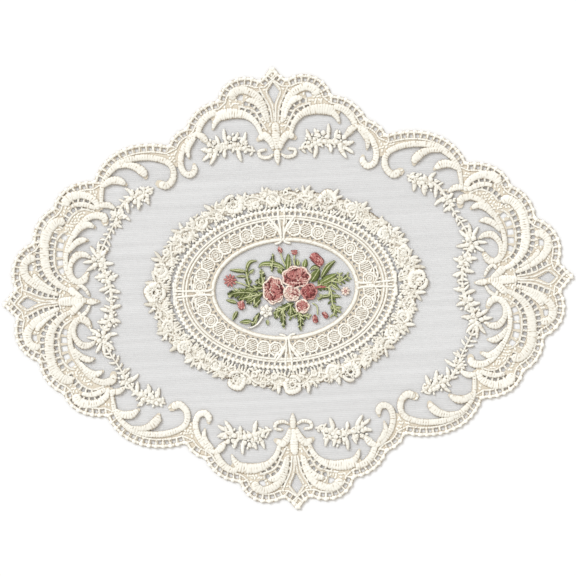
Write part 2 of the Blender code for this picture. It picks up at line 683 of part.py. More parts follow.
def boundary(solids, holes, clip=None):
    """Return the loops round what the solids cover, less the holes."""
    polygons = [*solids, *holes]
    first_hole = len(solids)
    if clip:
        polygons.append(clip)
    clip_index = len(polygons) - 1 if clip else None
    points, faces, _, owners = triangulate(polygons)
    sides = {}
    for face, inside in zip(faces, owners):
        solid = any(index < first_hole for index in inside)
        hole = any(first_hole <= index < first_hole + len(holes) for index in inside)
        clipped = clip is not None and clip_index not in inside
        if solid and not hole and not clipped:
            for a, b in zip(face, face[1:] + face[:1]):
                sides[(a, b)] = True
    onward = {}
    for a, b in sides:
        if (b, a) not in sides:
            onward.setdefault(a, []).append(b)
    return chain_loops(onward, points)


def separate(loops):
    """Sort loops into clumps, each an outer loop with the holes that lie in it."""
    clumps = [[loop] for loop in loops if loop_area(loop) > SMALLEST_CLUMP]
    for loop in loops:
        if loop_area(loop) < 0:
            for clump in clumps:
                if is_inside(loop[0], clump[:1]):
                    clump.append(loop)
    return clumps


def chain_loops(onward, points):
    """Chain the boundary sides into loops of points."""
    loops = []
    while onward:
        start = min(onward)
        loop = [start]
        here = start
        while True:
            choices = onward[here]
            following = choices.pop()
            if not choices:
                del onward[here]
            if following == start:
                break
            loop.append(following)
            here = following
        loops.append([tuple(points[index]) for index in loop])
    return loops


# Solids.


def clear_of_walls(spot, loops):
    """Say whether a point of the relief lies inside and clear of the walls."""
    return is_inside(spot, loops) and distance_to_loops(spot, loops) > CREST_CLEAR


def lay_relief(relief, loops):
    """Pick the relief's points that are clear of the walls, and the ridges between them."""
    raised = []
    heights = []
    ridges = []
    for route, height in relief:
        previous = None
        for point in route:
            spot = (point[0], point[1])
            crowded = any(math.dist(spot, other) < CREST_APART for other in raised)
            if crowded or not clear_of_walls(spot, loops):
                previous = None
                continue
            raised.append(spot)
            heights.append(height)
            if previous is not None:
                start = raised[previous]
                middle = ((spot[0] + start[0]) / 2, (spot[1] + start[1]) / 2)
                if clear_of_walls(middle, loops):
                    ridges.append((previous, len(raised) - 1))
            previous = len(raised) - 1
    return raised, heights, ridges


def set_vertices(mesh, points, heights):
    """Add points to a mesh at their heights, measured from the middle of the outline."""
    shift_x = (EAST_REACH - WEST_REACH) / 2
    shift_y = (NORTH_REACH - SOUTH_REACH) / 2
    return [mesh.verts.new(((x - shift_x) * MM, (y - shift_y) * MM, z * MM))
            for (x, y), z in zip(points, heights)]


def lay_surface(mesh, loops, rim, relief, height, faces_up):
    """Fill the loops with triangles that run through the relief's points."""
    raised, heights, ridges = relief
    points, faces, sources, owners = triangulate(loops, raised, ridges)
    known = [*rim, *set_vertices(mesh, raised, heights)]
    corners = [known[source[0]] if source else set_vertices(mesh, [point], [height])[0]
               for point, source in zip(points, sources)]
    outer = [loop_area(loop) > 0 for loop in loops]
    for face, inside in zip(faces, owners):
        if inside and all(outer[index] for index in inside):
            cycle = [corners[index] for index in face]
            mesh.faces.new(cycle if faces_up else reversed(cycle))


def plate(name, loops, relief, floor, top, material):
    """Make a solid from loops: a flat underside, walls, and a top with relief.

    The relief is a list of (route, height) pairs, whose points are raised to
    that height wherever they lie clear of the walls.
    """
    mesh = bmesh.new()
    rim = [point for loop in loops for point in loop]
    upper = set_vertices(mesh, rim, [top] * len(rim))
    lower = set_vertices(mesh, rim, [floor] * len(rim))
    lay_surface(mesh, loops, upper, lay_relief(relief, loops), CREST_TOP, True)
    lay_surface(mesh, loops, lower, ([], [], []), floor, False)
    start = 0
    for loop in loops:
        for index in range(len(loop)):
            a = start + index
            b = start + (index + 1) % len(loop)
            mesh.faces.new((lower[a], lower[b], upper[b], upper[a]))
        start += len(loop)
    bmesh.ops.triangulate(mesh, faces=mesh.faces[:])
    data = bpy.data.meshes.new(name)
    mesh.to_mesh(data)
    mesh.free()
    data.materials.append(material)
    solid = bpy.data.objects.new(name, data)
    bpy.context.scene.collection.objects.link(solid)
    return solid


# Pieces of the doily.


def placed_strokes(table, quarters, steps=2):
    """Carry a table of strokes to the quarters given, as smooth routes."""
    routes = []
    for quarter in quarters:
        for route in table.values():
            curve = smooth(route, steps)
            routes.append([(*place(point, quarter), point[2]) for point in curve])
    return routes


def patches_of(routes):
    """Return the patches of many strokes in one list."""
    return [patch for route in routes for patch in ribbon(route)]


def crown_of(routes, floor, crest):
    """Return relief along strokes, higher where a stroke is wide."""
    relief = []
    for route in routes:
        widest = max(point[2] for point in route)
        rise = min(1.0, NARROW_RISE + widest / FULL_RISE_WIDTH)
        relief.append((route[::2], floor + (crest - floor) * rise))
    return relief


def edge_band(width):
    """Return patches that follow the scalloped edge, to the width given."""
    patches = []
    for quarter in QUARTERS:
        outer = scallop_arcs(-OVERRUN, ARC_STEP)
        inner = scallop_arcs(width, ARC_STEP)
        for near, far in zip(outer, inner):
            patches.extend(strip([place(point, quarter) for point in near],
                                 [place(point, quarter) for point in far]))
        for scallop in SCALLOPS[:-1]:
            centre = place((scallop.x, scallop.y), quarter)
            patches.append(ellipse(width, width, 12, centre))
    return patches


def purl_holes(outline):
    """Return the small holes that follow the scalloped edge."""
    centres = []
    holes = []
    for quarter in QUARTERS:
        for arc in scallop_arcs(PURL_INSET, FINE_STEP):
            line = [place(point, quarter) for point in arc]
            run = sum(math.dist(a, b) for a, b in zip(line, line[1:]))
            count = max(1, round(run / PURL_PITCH))
            for index in range(count):
                reach = (index + 0.5) / count * (len(line) - 1)
                step = min(int(reach), len(line) - 2)
                a = line[step]
                b = line[step + 1]
                share = reach - step
                centre = (a[0] + (b[0] - a[0]) * share, a[1] + (b[1] - a[1]) * share)
                crowded = any(math.dist(centre, other) < PURL_LONG + BAR for other in centres)
                if crowded or distance_to_loops(centre, [outline]) < PURL_INSET - BAR / 2:
                    continue
                centres.append(centre)
                turn = math.degrees(math.atan2(b[1] - a[1], b[0] - a[0]))
                holes.append(block(centre, PURL_LONG, PURL_DEEP, turn))
    return holes


def open_cells():
    """Return every open cell of the four quarters."""
    cells = []
    for quarter in QUARTERS:
        for cell in CELLS:
            corners = block((cell.x, cell.y), cell.across, cell.along, cell.turn)
            cells.append([place(corner, quarter) for corner in corners])
    return cells


def make_ground(outline, cells, material):
    """Make the organza ground, which ends under the pierced edge."""
    loops = cut(join([outline], edge_band(GROUND_INSET)), cells)
    return plate("organza_ground", loops, [], 0.0, GROUND_TOP, material)


def make_border(outline, cells, material):
    """Make the scalloped lace border."""
    strokes = placed_strokes(STROKES, QUARTERS)
    strokes += placed_strokes(END_STROKES, NORTH_SOUTH)
    strokes += placed_strokes(SIDE_STROKES, EAST_WEST)
    webs = [[place(point, quarter) for point in web]
            for quarter in QUARTERS for web in WEBS.values()]
    windows = [[place(point, quarter) for point in END_WINDOW] for quarter in NORTH_SOUTH]
    windows += [[place(point, quarter) for point in SIDE_WINDOW] for quarter in EAST_WEST]
    body = join([*patches_of(strokes), *webs, *edge_band(EDGE_BAND)], windows, outline)
    loops = cut(body, [*purl_holes(outline), *cells])
    furrows = [([place(point, quarter) for point in furrow], WEB_TOP)
               for quarter in QUARTERS for furrow in FURROWS.values()]
    relief = furrows + crown_of(strokes, WEB_TOP, CREST_TOP)
    return plate("lace_border", loops, relief, STITCH_FLOOR, WEB_TOP, material)


def border_clearance():
    """Return the border's strokes, widened, which the motifs stay out of."""
    patches = []
    for table, quarters in ((STROKES, QUARTERS), (END_STROKES, NORTH_SOUTH),
                            (SIDE_STROKES, EAST_WEST)):
        for route in placed_strokes(table, quarters):
            patches.extend(ribbon([(x, y, width + 2 * MOTIF_CLEAR) for x, y, width in route]))
    return patches


def make_motif(name, strokes, discs, leaves, quarters, keep_clear, material):
    """Make a raised motif of strokes, flower discs and leaves."""
    routes = placed_strokes(strokes, quarters)
    patches = patches_of(routes)
    relief = crown_of(routes, WEB_TOP, CREST_TOP)
    for quarter in quarters:
        for x, y, radius in discs:
            centre = place((x, y), quarter)
            patches.append(ellipse(radius, radius, 8, centre))
            relief.append(([centre], CREST_TOP))
        for leaf in leaves:
            outline, rib = leaf_outline(leaf)
            patches.append([place(point, quarter) for point in outline])
            relief.append(([place(rib[-1], quarter)], CREST_TOP))
    loops = max(separate(join(patches, keep_clear)), key=lambda clump: loop_area(clump[0]))
    return plate(name, loops, relief, STITCH_FLOOR, WEB_TOP, material)


def ring_line(half_x, half_y, count):
    """Return an oval round the ring's centre."""
    return ellipse(half_x, half_y, count, (0.0, RING_CENTRE_Y))


def make_ring(material):
    """Make the oval medallion ring with its ropes and rosettes."""
    inner_x, inner_y = RING_WINDOW
    outer_x, outer_y = RING_OUTER
    loops = [ring_line(outer_x, outer_y, RING_STEPS),
             ring_line(inner_x, inner_y, RING_STEPS)[::-1]]
    relief = [
        (ring_line(inner_x + 2.0, inner_y + 2.0, RING_STEPS), CREST_TOP),
        (ring_line(inner_x + 5.0, inner_y + 4.6, RING_STEPS), WEB_TOP),
        (ring_line(outer_x - 6.6, outer_y - 4.6, RING_STEPS), CREST_TOP),
        (ring_line(outer_x - 3.0, outer_y - 2.0, RING_STEPS), WEB_TOP),
    ]
    for rosette in ring_line(*ROSETTE_LINE, ROSETTE_COUNT):
        relief.append(([rosette], CREST_TOP))
        relief.append((ellipse(ROSETTE_RADIUS, ROSETTE_RADIUS, 6, rosette), WEB_TOP))
    return plate("medallion_ring", loops, relief, STITCH_FLOOR, WEB_TOP, material)


def wreath_leaf(index):
    """Return one of the wreath's outer leaves, of an uneven length and lean."""
    angle = math.tau * (index + 0.35 * math.sin(2.4 * index)) / WREATH_LEAVES
    swing = angle + 0.05 * math.cos(2.9 * index)
    reach = WREATH_REACH[0] + WREATH_REACH[1] * abs(math.sin(1.7 * index + 0.6))
    line_x, line_y = WREATH_LINE
    tip_x = line_x + WREATH_END_REACH + reach
    tip_y = line_y + reach
    return Leaf(line_x * math.cos(angle), line_y * math.sin(angle) + RING_CENTRE_Y,
                tip_x * math.cos(swing), tip_y * math.sin(swing) + RING_CENTRE_Y,
                WREATH_LEAF_WIDTH, 0.4)


def make_wreath(material):
    """Make the wreath of roses and leaves that frames the ring."""
    line = ring_line(*WREATH_LINE, RING_STEPS)
    patches = ribbon([(x, y, WREATH_BAND) for x, y in [*line, line[0]]])
    relief = []
    for rose in WREATH_ROSES:
        centre = (rose.x, rose.y)
        crown = ellipse(rose.half_x - ROSE_ROLL, rose.half_y - ROSE_ROLL, 7, centre)
        patches.append(ellipse(rose.half_x, rose.half_y, 12, centre))
        relief.append(([centre], BAND_TOP))
        relief.append((crown, BLOOM_TOP))
    relief.append((line, BAND_TOP))
    for index in range(WREATH_LEAVES):
        outline, rib = leaf_outline(wreath_leaf(index))
        patches.append(outline)
        relief.append((rib[-1:], CREST_TOP))
    loops = join(patches, [ring_line(*WREATH_INNER, RING_STEPS)])
    return plate("rose_wreath", loops, relief, STITCH_FLOOR, WEB_TOP, material)


def make_bloom(bloom, material):
    """Make a domed flower or bud whose rim is lobed by its petals."""
    lean = math.radians(bloom.turn)

    def spot(x, y, share):
        x *= bloom.half_x * share
        y *= bloom.half_y * share
        return (bloom.x + x * math.cos(lean) - y * math.sin(lean),
                bloom.y + x * math.sin(lean) + y * math.cos(lean) + RING_CENTRE_Y)

    rim = []
    for x, y in ellipse(1.0, 1.0, 3 * bloom.petals):
        lobe = 1 - PETAL_DENT * (1 - math.cos(bloom.petals * math.atan2(y, x)))
        rim.append(spot(x, y, lobe))
    crown = [spot(x, y, CROWN_SHARE) for x, y in ellipse(1.0, 1.0, bloom.petals + 1)]
    relief = [([spot(0, 0, 0)], BLOOM_TOP - HEART_DIP), (crown, BLOOM_TOP)]
    return plate(bloom.name, [rim], relief, STITCH_FLOOR, WEB_TOP, material)


def make_bouquet(materials):
    """Make the bouquet: its flowers, and the foliage cut clear of them."""
    keep_clear = []
    for bloom in BLOOMS:
        make_bloom(bloom, materials[bloom.colour])
        centre = (bloom.x, bloom.y + RING_CENTRE_Y)
        keep_clear.append(ellipse(bloom.half_x + BLOOM_CLEAR, bloom.half_y + BLOOM_CLEAR, 14,
                                  centre, bloom.turn))
    for name, leaves in FOLIAGE.items():
        patches = []
        relief = []
        for leaf in leaves:
            leaf = leaf._replace(y=leaf.y + RING_CENTRE_Y, tip_y=leaf.tip_y + RING_CENTRE_Y)
            outline, rib = leaf_outline(leaf)
            patches.append(outline)
            relief.append((rib, CREST_TOP))
        clumps = separate(join(patches, keep_clear))
        for number, loops in enumerate(clumps, 1):
            plate(f"{name}_{number}", loops, relief, STITCH_FLOOR, WEB_TOP, materials["leaf"])


def main():
    """Build every piece of the doily."""
    clear_scene()
    materials = {name: thread_material(name) for name in COLOURS}
    outline = doily_outline(ARC_STEP)
    cells = open_cells()
    make_ground(outline, cells, materials["organza"])
    make_border(outline, cells, materials["ecru"])
    keep_clear = border_clearance()
    for quarter in QUARTERS:
        make_motif(f"spray_{quarter.name}", SPRAY_STROKES, SPRAY_DISCS, SPRAY_LEAVES,
                   (quarter,), keep_clear, materials["ecru"])
    for name, quarters in (("east", (QUARTERS[0], QUARTERS[3])),
                           ("west", (QUARTERS[1], QUARTERS[2]))):
        make_motif(f"garland_{name}", GARLAND_STROKES, GARLAND_DISCS, GARLAND_LEAVES,
                   quarters, keep_clear, materials["ecru"])
    make_wreath(materials["ecru"])
    make_ring(materials["ecru"])
    make_bouquet(materials)


if __name__ == "__main__":
    main()
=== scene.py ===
"""Looks of the embroidered lace doily: satin stitch, organza, light and camera.

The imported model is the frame. Each stitched piece stands where its solid does, and
the organza lies on the table below the lace. Tables and sizes are in millimetres, x
towards the east tip and y towards the north tip of the doily, as the part's source has
them. Directions are in radians, and shades run from 0 to 1. Meshes are in metres.
"""
import logging
import math
from collections.abc import Iterable, Iterator, Sequence
from dataclasses import dataclass
from enum import Enum
from random import Random
from typing import Any, NamedTuple

import bpy
from bpy.types import Material, Mesh, Node, NodeSocket, Object
from mathutils.geometry import delaunay_2d_cdt
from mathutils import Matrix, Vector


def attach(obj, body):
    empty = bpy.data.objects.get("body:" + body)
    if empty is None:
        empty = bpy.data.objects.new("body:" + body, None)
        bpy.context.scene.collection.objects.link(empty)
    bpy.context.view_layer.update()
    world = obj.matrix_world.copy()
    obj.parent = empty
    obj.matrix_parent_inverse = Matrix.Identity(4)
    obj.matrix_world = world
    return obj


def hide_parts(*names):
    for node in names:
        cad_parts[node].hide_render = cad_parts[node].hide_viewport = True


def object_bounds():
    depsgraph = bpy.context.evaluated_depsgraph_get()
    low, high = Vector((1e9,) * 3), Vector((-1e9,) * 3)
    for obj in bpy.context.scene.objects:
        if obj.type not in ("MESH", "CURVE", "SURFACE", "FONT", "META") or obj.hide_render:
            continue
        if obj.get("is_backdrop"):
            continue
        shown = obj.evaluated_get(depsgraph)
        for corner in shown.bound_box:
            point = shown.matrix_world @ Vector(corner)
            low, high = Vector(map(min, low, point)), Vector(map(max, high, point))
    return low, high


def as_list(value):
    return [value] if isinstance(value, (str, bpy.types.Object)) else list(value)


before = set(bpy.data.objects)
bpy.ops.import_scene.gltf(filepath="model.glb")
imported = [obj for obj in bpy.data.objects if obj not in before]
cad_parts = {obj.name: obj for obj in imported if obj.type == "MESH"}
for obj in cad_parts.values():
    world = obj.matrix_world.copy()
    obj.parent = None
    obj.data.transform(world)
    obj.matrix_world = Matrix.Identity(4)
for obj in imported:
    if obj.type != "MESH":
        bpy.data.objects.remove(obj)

CAD_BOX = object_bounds()
LOG = logging.getLogger("lace_doily")

MM = 0.001
SEED = 11

Point = tuple[float, float]
Knot = tuple[float, float, float]  # x, y and width
Mark = tuple[Point, float]  # a place and a direction
Span = tuple[float, float]  # a least and a most value, or two sizes
Colour = tuple[int, int, int]  # in steps of 255
Route = Sequence[Sequence[float]]  # points, with or without a width

# Reach of the four arms from the centre of the ring.
EAST_REACH = 201.4
WEST_REACH = 197.2
NORTH_REACH = 155.8
SOUTH_REACH = 152.4
AXIS_SKEW = 0.009
SHIFT_X = (EAST_REACH - WEST_REACH) / 2
SHIFT_Y = (NORTH_REACH - SOUTH_REACH) / 2

# Heights above the table.
CLOTH_LOW = 0.35
CLOTH_TOP = 0.55
WEB_LOW = 0.7
WEB_TOP = 1.15
STITCH_EDGE = 1.2
SKIRT = 0.5  # how far a stroke's edge reaches down
LAYER = 0.35  # one layer of thread over another

# Pierced edge.
PURL_PITCH = 4.7
PURL_INSET = 3.8
FINE_STEP = 2.0

RING_CENTRE_Y = 1.2
OVAL_POINTS = 180


class Quarter(NamedTuple):
    """One quarter of the doily, and how far its corner is pulled out."""

    name: str
    side: int
    end: int
    swell: float


class Scallop(NamedTuple):
    """An arc of the edge: where it ends, its bulge, and its lean to that end."""

    x: float
    y: float
    bulge: float
    lean: float


class Leaf(NamedTuple):
    """A pointed leaf: its base, its tip, its greatest width and its bow."""

    x: float
    y: float
    tip_x: float
    tip_y: float
    width: float
    bow: float


class Growth(Enum):
    """How a frond is sewn."""

    BLADE = "one broad leaf with a pale rib"
    FEATHER = "short stitches on both sides of a rib"
    SPRIG = "a thin stem with pairs of leaflets"
    STEM = "a bare stem"


BLADE, FEATHER, SPRIG, STEM = Growth


class Frond(NamedTuple):
    """A frond of the bouquet: how it is sewn, its width and its route, in mm."""

    growth: Growth
    width: float
    route: tuple[Point, ...]


class Bloom(NamedTuple):
    """A flower: its centre, half widths and turn in degrees."""

    name: str
    x: float
    y: float
    half_x: float
    half_y: float
    turn: float = 0

    @property
    def radius(self) -> float:
        """Return the mean of its half widths."""
        return (self.half_x + self.half_y) / 2


class Motif(NamedTuple):
    """A motif of ecru thread: its stem, its leaves, and each flower's centre and radius."""

    stem: tuple[Knot, ...]
    flowers: tuple[Knot, ...]
    leaves: tuple[Leaf, ...]


QUARTERS = (
    Quarter("north_east", 1, 1, 0),
    Quarter("north_west", -1, 1, -0.3),
    Quarter("south_west", -1, -1, 0.5),
    Quarter("south_east", 1, -1, 2.2),
)
EAST = (QUARTERS[0], QUARTERS[3])
WEST = QUARTERS[1:3]
NORTH = QUARTERS[:2]

# From the north tip to the east tip.
SCALLOPS = (
    Scallop(9.6, 147.8, -0.2, 0),
    Scallop(40.4, 135.2, 8.4, 0.05),
    Scallop(64.2, 117, 4.2, 0),
    Scallop(77.1, 105.4, 2.2, 0),
    Scallop(132, 83.2, 11.7, 0.15),
    Scallop(162.3, 65.8, 6.4, 0.15),
    Scallop(178.2, 42.2, 4.2, 0),
    Scallop(192.6, 10.2, 7.8, 0),
    Scallop(EAST_REACH, 0, 0.3, 0),
)

# Satin stitch strokes of the border: x, y and width at each point of the route.
STROKES = {
    "lozenge_cord": ((0.4, 118, 1.4), (1.3, 130, 1.4), (5, 139.6, 1.4), (0, 147, 1.4)),
    "fan_cord": ((2, 118, 1.4), (3.6, 129, 1.4), (8, 138, 1.4), (10.4, 143.2, 1.4)),
    "fan_plume": ((4.6, 117.5, 2.2), (7.6, 129, 4.4), (13, 137.6, 5.4), (22.4, 141.9, 5.6),
                  (28.8, 139.4, 6.6), (29.4, 135, 7)),
    "fan_plume_inner": ((6.2, 118.5, 1.6), (9.6, 128.2, 3.4), (14.4, 133.4, 4.4), (20, 134.4, 3.2)),
    "fan_rib": ((6, 112, 1.5), (10.6, 120, 1.5), (15.4, 127, 1.5), (26, 130.6, 1.5)),
    "arch": ((9.4, 107, 2.6), (13, 116.8, 3.6), (19.2, 123, 4.8), (27.4, 125.6, 6.6), (36, 125.4, 7.6),
             (43, 123.2, 6.2)),
    "arch_spur": ((38.4, 124.6, 5), (42.8, 120.2, 4), (44.8, 115.4, 1.8)),
    "arch_end": ((41.4, 127.2, 4), (48.6, 124.6, 5), (53.4, 119, 4.6), (56.2, 112.6, 4.2)),
    "arch_leaf": ((56.6, 112.4, 3.4), (52.4, 110.2, 4.8), (49, 106.2, 2.4)),
    "scroll": ((55, 114, 3), (62.2, 108.9, 4.2), (67.6, 101, 4.2), (69.4, 92.6, 4.2), (67.2, 86, 4.4),
               (62.4, 84.4, 4.6), (59.6, 87.6, 4.4), (59.8, 91.2, 2.8)),
    "scroll_leaf": ((57.8, 110.4, 2.6), (62, 105.8, 4.2), (63.8, 100.8, 3.4), (63, 96, 1.8)),
    "arc": ((85.6, 79.2, 5.6), (80, 77.6, 5.2), (75.4, 82.2, 4.6), (75.2, 89.4, 4.2), (80, 94.6, 4.2),
            (92, 97.9, 4.4), (106.8, 96.8, 4.2), (118.4, 90.6, 3.8), (126, 80.4, 3.4), (127.8, 64, 2.6)),
    "arc_leaf_upper": ((115.4, 91.9, 2), (107.8, 93.2, 3.8), (101, 91.4, 5.6), (96.6, 87.6, 5.8),
                       (95, 84.2, 3.2)),
    "arc_leaf_middle": ((126, 78.9, 2.6), (120.6, 82.6, 5), (114.6, 82.8, 5.6), (109.4, 79.8, 2.8)),
    "arc_leaf_lower": ((128.8, 65.8, 3.4), (123, 66, 4.4), (118, 63.2, 2.2)),
    "tip_lozenge_cord": ((162.4, 0.5, 1.4), (174.6, 1.4, 1.4), (184.6, 4.9, 1.4), (191.4, 0, 1.4)),
    "tip_cord": ((162.4, 2.1, 1.4), (173.6, 3.7, 1.4), (182.8, 7.7, 1.4), (188.8, 10.2, 1.4)),
    "tip_plume": ((161.6, 4.6, 2.4), (170.2, 8.2, 4), (179, 13.4, 5.4), (184.9, 20, 5.8), (185.2, 27, 5.8),
                  (181, 31, 5.6), (176.4, 30.6, 5.2)),
    "tip_plume_inner": ((164.8, 8.4, 1.6), (171.8, 12.6, 3), (177.2, 17.2, 3.8), (178.4, 20.4, 3)),
    "side_plume": ((151.6, 6.6, 2.4), (159.8, 10.8, 4.2), (166.6, 17.6, 5.6), (169.8, 26, 6.4),
                   (170.2, 36, 6.6), (168.4, 46, 6.6), (163.6, 53.4, 6.4), (158.6, 56.2, 6.2),
                   (154.4, 54.6, 6)),
    "side_rib": ((152.6, 12.8, 1.5), (160.2, 18.4, 1.5), (163.4, 28, 1.5), (161.8, 41, 1.5),
                 (157.2, 47.4, 1.5), (152.6, 49.2, 1.5)),
    "side_scroll": ((149.8, 12, 2.8), (154.6, 20, 3.4), (155.4, 29, 3.6), (153.4, 37.6, 3.6),
                    (149, 46, 3.6), (142.6, 54.2, 3.8), (134.6, 58.9, 4.6), (127, 58, 5.6),
                    (125.6, 53.6, 4.8)),
    "side_hook": ((140.6, 18.6, 3.6), (143.4, 14.4, 5.2), (148.4, 13.6, 4.2), (152, 18.4, 3.4),
                  (152, 25.6, 3.6), (147.4, 31.6, 5), (141.6, 32, 4), (137.4, 29.6, 1.8)),
    "side_leaf_middle": ((152.8, 34, 2.2), (148.6, 39.4, 4.2), (143.4, 42.2, 4.6), (138.8, 42, 2)),
    "side_leaf_upper": ((149.2, 43.8, 2.2), (144.4, 50, 4.2), (138.6, 53, 4.6), (133.4, 51, 2.4)),
    "shoulder_plume": ((129.8, 63, 3), (132.2, 69.4, 4.6), (138.4, 73.4, 5.2), (145.4, 74, 6),
                       (151.6, 71.4, 6.8), (154, 66.4, 7)),
    "shoulder_plume_inner": ((131.4, 63.8, 3), (138, 66.6, 3.8), (144, 67.4, 3.4), (149.2, 66.2, 2.6)),
    "shoulder_rib": ((132.4, 61.6, 1.5), (140.6, 63.8, 1.5), (148.2, 60.4, 1.5), (152.8, 54.6, 1.5)),
    "cup_leaf": ((2.4, 99, 2.4), (4.4, 105, 4.6), (8.2, 109, 5.6), (12.8, 106.6, 3.6)),
    "cup_loop": ((3, 95.4, 1.8), (7, 93.4, 2.4), (12, 94.6, 2.6), (12.6, 98.2, 2.2), (8, 99.2, 2)),
    "side_cup_leaf": ((144.6, 2, 2.4), (149.6, 4.8, 5), (154.2, 9.4, 5.4)),
    "side_cup_loop": ((140, 3.4, 1.8), (142.6, 8, 2.6), (146.4, 10.6, 2.6), (148.6, 7.6, 2.2)),
}

# Strokes on the axes, each sewn once at both ends and once at both sides.
END_STROKES = {
    "end_stem": ((0, 99, 4), (0, 108, 6), (0, 118, 5)),
    "end_bud": ((0, 99, 3.6), (0, 94, 4.4), (0.2, 88.6, 1.8)),
}
SIDE_STROKES = {
    "side_stem": ((142, 0, 4), (151, 0, 7), (163, 0, 5)),
    "side_bud": ((142, -0.8, 3.8), (137.4, -1, 4.4), (133, -1.2, 1.8)),
}

# Furrows between the strokes, crossed by bars.
FURROWS = {
    "fan_furrow_outer": ((4, 122), (7.4, 132), (11.4, 139.6)),
    "fan_furrow_inner": ((9.8, 121), (12.8, 128.6), (17.6, 131.8), (22.6, 132)),
    "fan_furrow_low": ((10, 114), (14.2, 121.6), (18.6, 126.4), (25, 129)),
    "tip_furrow_outer": ((161, 3.4), (173, 6), (184.4, 10.4)),
    "tip_furrow_inner": ((164, 7), (173.6, 11.4), (179.4, 16.2)),
    "side_furrow_outer": ((160, 7.6), (168, 13.6), (174.2, 22.6), (175.2, 33), (173, 44), (168.2, 54.4)),
    "side_furrow_inner": ((158.6, 14.8), (164.8, 21.6), (166, 30), (164.6, 40), (161, 48.6)),
    "shoulder_furrow_outer": ((132.4, 66.2), (139.4, 70), (146.6, 70.6), (151.6, 68)),
    "shoulder_furrow_inner": ((133.4, 63), (140.4, 64.9), (147, 64), (152.4, 59.4), (157.4, 52)),
}

# Open cells of the border.
CELLS = ((24.4, 136.6), (155.4, 45), (158.6, 39.4), (159.6, 33.4), (159.6, 27.4), (159, 21.6), (181, 24.8))

# Corner spray.
SPRAY = Motif(
    ((15, 98.6, 2.4), (22, 100, 4.2), (32, 102.6, 5.6), (42, 101.6, 5), (49, 98, 3.6)),
    ((32.4, 105.6, 4.6), (45.2, 102.8, 4.6), (24.8, 103, 3.8)),
    (Leaf(25, 103, 21.4, 112.4, 3.2, 0.4), Leaf(36, 105, 37, 115.6, 3.2, -0.4),
     Leaf(30, 106, 27, 112.6, 3, 0.3), Leaf(41, 104, 43.4, 111, 3, 0.3),
     Leaf(46, 104, 54.6, 108.6, 3.4, 0.6), Leaf(47, 101, 54.6, 101.8, 3.2, -0.4),
     Leaf(28, 101, 25.6, 91.6, 3.6, 0.4), Leaf(43, 101, 48.6, 90.4, 3.6, -0.5),
     Leaf(47, 98, 53.6, 93.4, 3.2, 0.3), Leaf(37, 101, 37.6, 94.6, 3.2, 0.3)))

# Side garland, one half from its sprig down to the axis.
GARLAND = Motif(
    ((89.5, 76.6, 2), (96, 73.4, 4.4), (103, 71.6, 4.8), (109.4, 68.6, 3.6), (114.6, 62.6, 3.2),
     (118.6, 54, 2.4), (123, 46, 1.9), (127.6, 38, 2.2), (131.4, 28, 3.4), (128.6, 19, 3.6), (125, 10, 3.8),
     (124, 0, 3.4)),
    ((96.6, 73.2, 4), (103.4, 70.4, 4.6), (117, 58, 3.6), (132, 27, 4.8), (126.6, 15, 4.4)),
    (Leaf(95, 73, 93.6, 64.6, 3.4, 0.4), Leaf(101, 70, 101.6, 61.4, 3.4, -0.4),
     Leaf(104, 72, 110.4, 77.4, 3, 0.4), Leaf(109, 68, 108.6, 59.4, 3.2, 0.4),
     Leaf(115, 60, 107.6, 54.2, 3, -0.3), Leaf(117, 58, 121.6, 62, 2.8, 0.3),
     Leaf(119, 54, 113.6, 49.6, 2.8, 0.3), Leaf(131, 30, 124, 36.4, 3.2, 0.4),
     Leaf(131.6, 30, 131, 41, 3, -0.3), Leaf(133, 30, 137.6, 38, 3, 0.4),
     Leaf(134, 27, 143.4, 26.4, 3, 0.3), Leaf(134, 25, 141, 20.6, 3.2, -0.3),
     Leaf(130, 26, 121, 25, 3.2, 0.4), Leaf(127, 16, 135.6, 15.6, 3.4, 0.3),
     Leaf(126, 14, 118.4, 17, 3.2, 0.3), Leaf(125, 9, 133, 6.4, 3.4, -0.3),
     Leaf(125, 7, 117.4, 4.6, 3.4, 0.3)))

# Wreath.
WREATH_ROSES = ((93, 3, 8.2), (-91, 3, 8.2), (33, 62, 7.6), (-33, 62, 7.6), (2, -66, 7.5),
                (-37, -61, 7.6), (43, -59, 7.6))  # each rose's centre and radius
WREATH_LEAVES = 44
WREATH_REACH = (5, 6.5)
WREATH_END_REACH = 4.0
WREATH_LINE = (88, 64.2)

# Bouquet.
BLOOMS = (
    Bloom("rose_left", -8, -0.6, 6.8, 8.6),
    Bloom("rose_top", 8.2, 7.8, 9, 6.9),
    Bloom("rose_pale", 4.7, -3.3, 5.2, 4.9),
    Bloom("rose_right", 16.6, -2.8, 4.9, 4.9),
    Bloom("rose_small", 11.5, -12.8, 4.2, 4.2),
    Bloom("bud_large", 23.3, 19.5, 6, 3.7, -48),
    Bloom("bud_top_left", -2.1, 27.2, 2.5, 1.7, 110),
    Bloom("bud_top_right", 7.9, 25, 2.3, 1.9),
    Bloom("bud_left", -31.2, -10, 3.4, 2.7, 100),
    Bloom("bud_low", 20, -22.2, 3.2, 2, 98),
    Bloom("bud_low_right", 27.3, -19.9, 2.8, 1.9, -60),
    Bloom("bloom_white", -13.9, -14.8, 4.9, 4.8),
    Bloom("star_left", -38.1, 7.7, 3.9, 4.3),
    Bloom("bud_cream", 42.2, -3.7, 3.5, 3, -30),
)
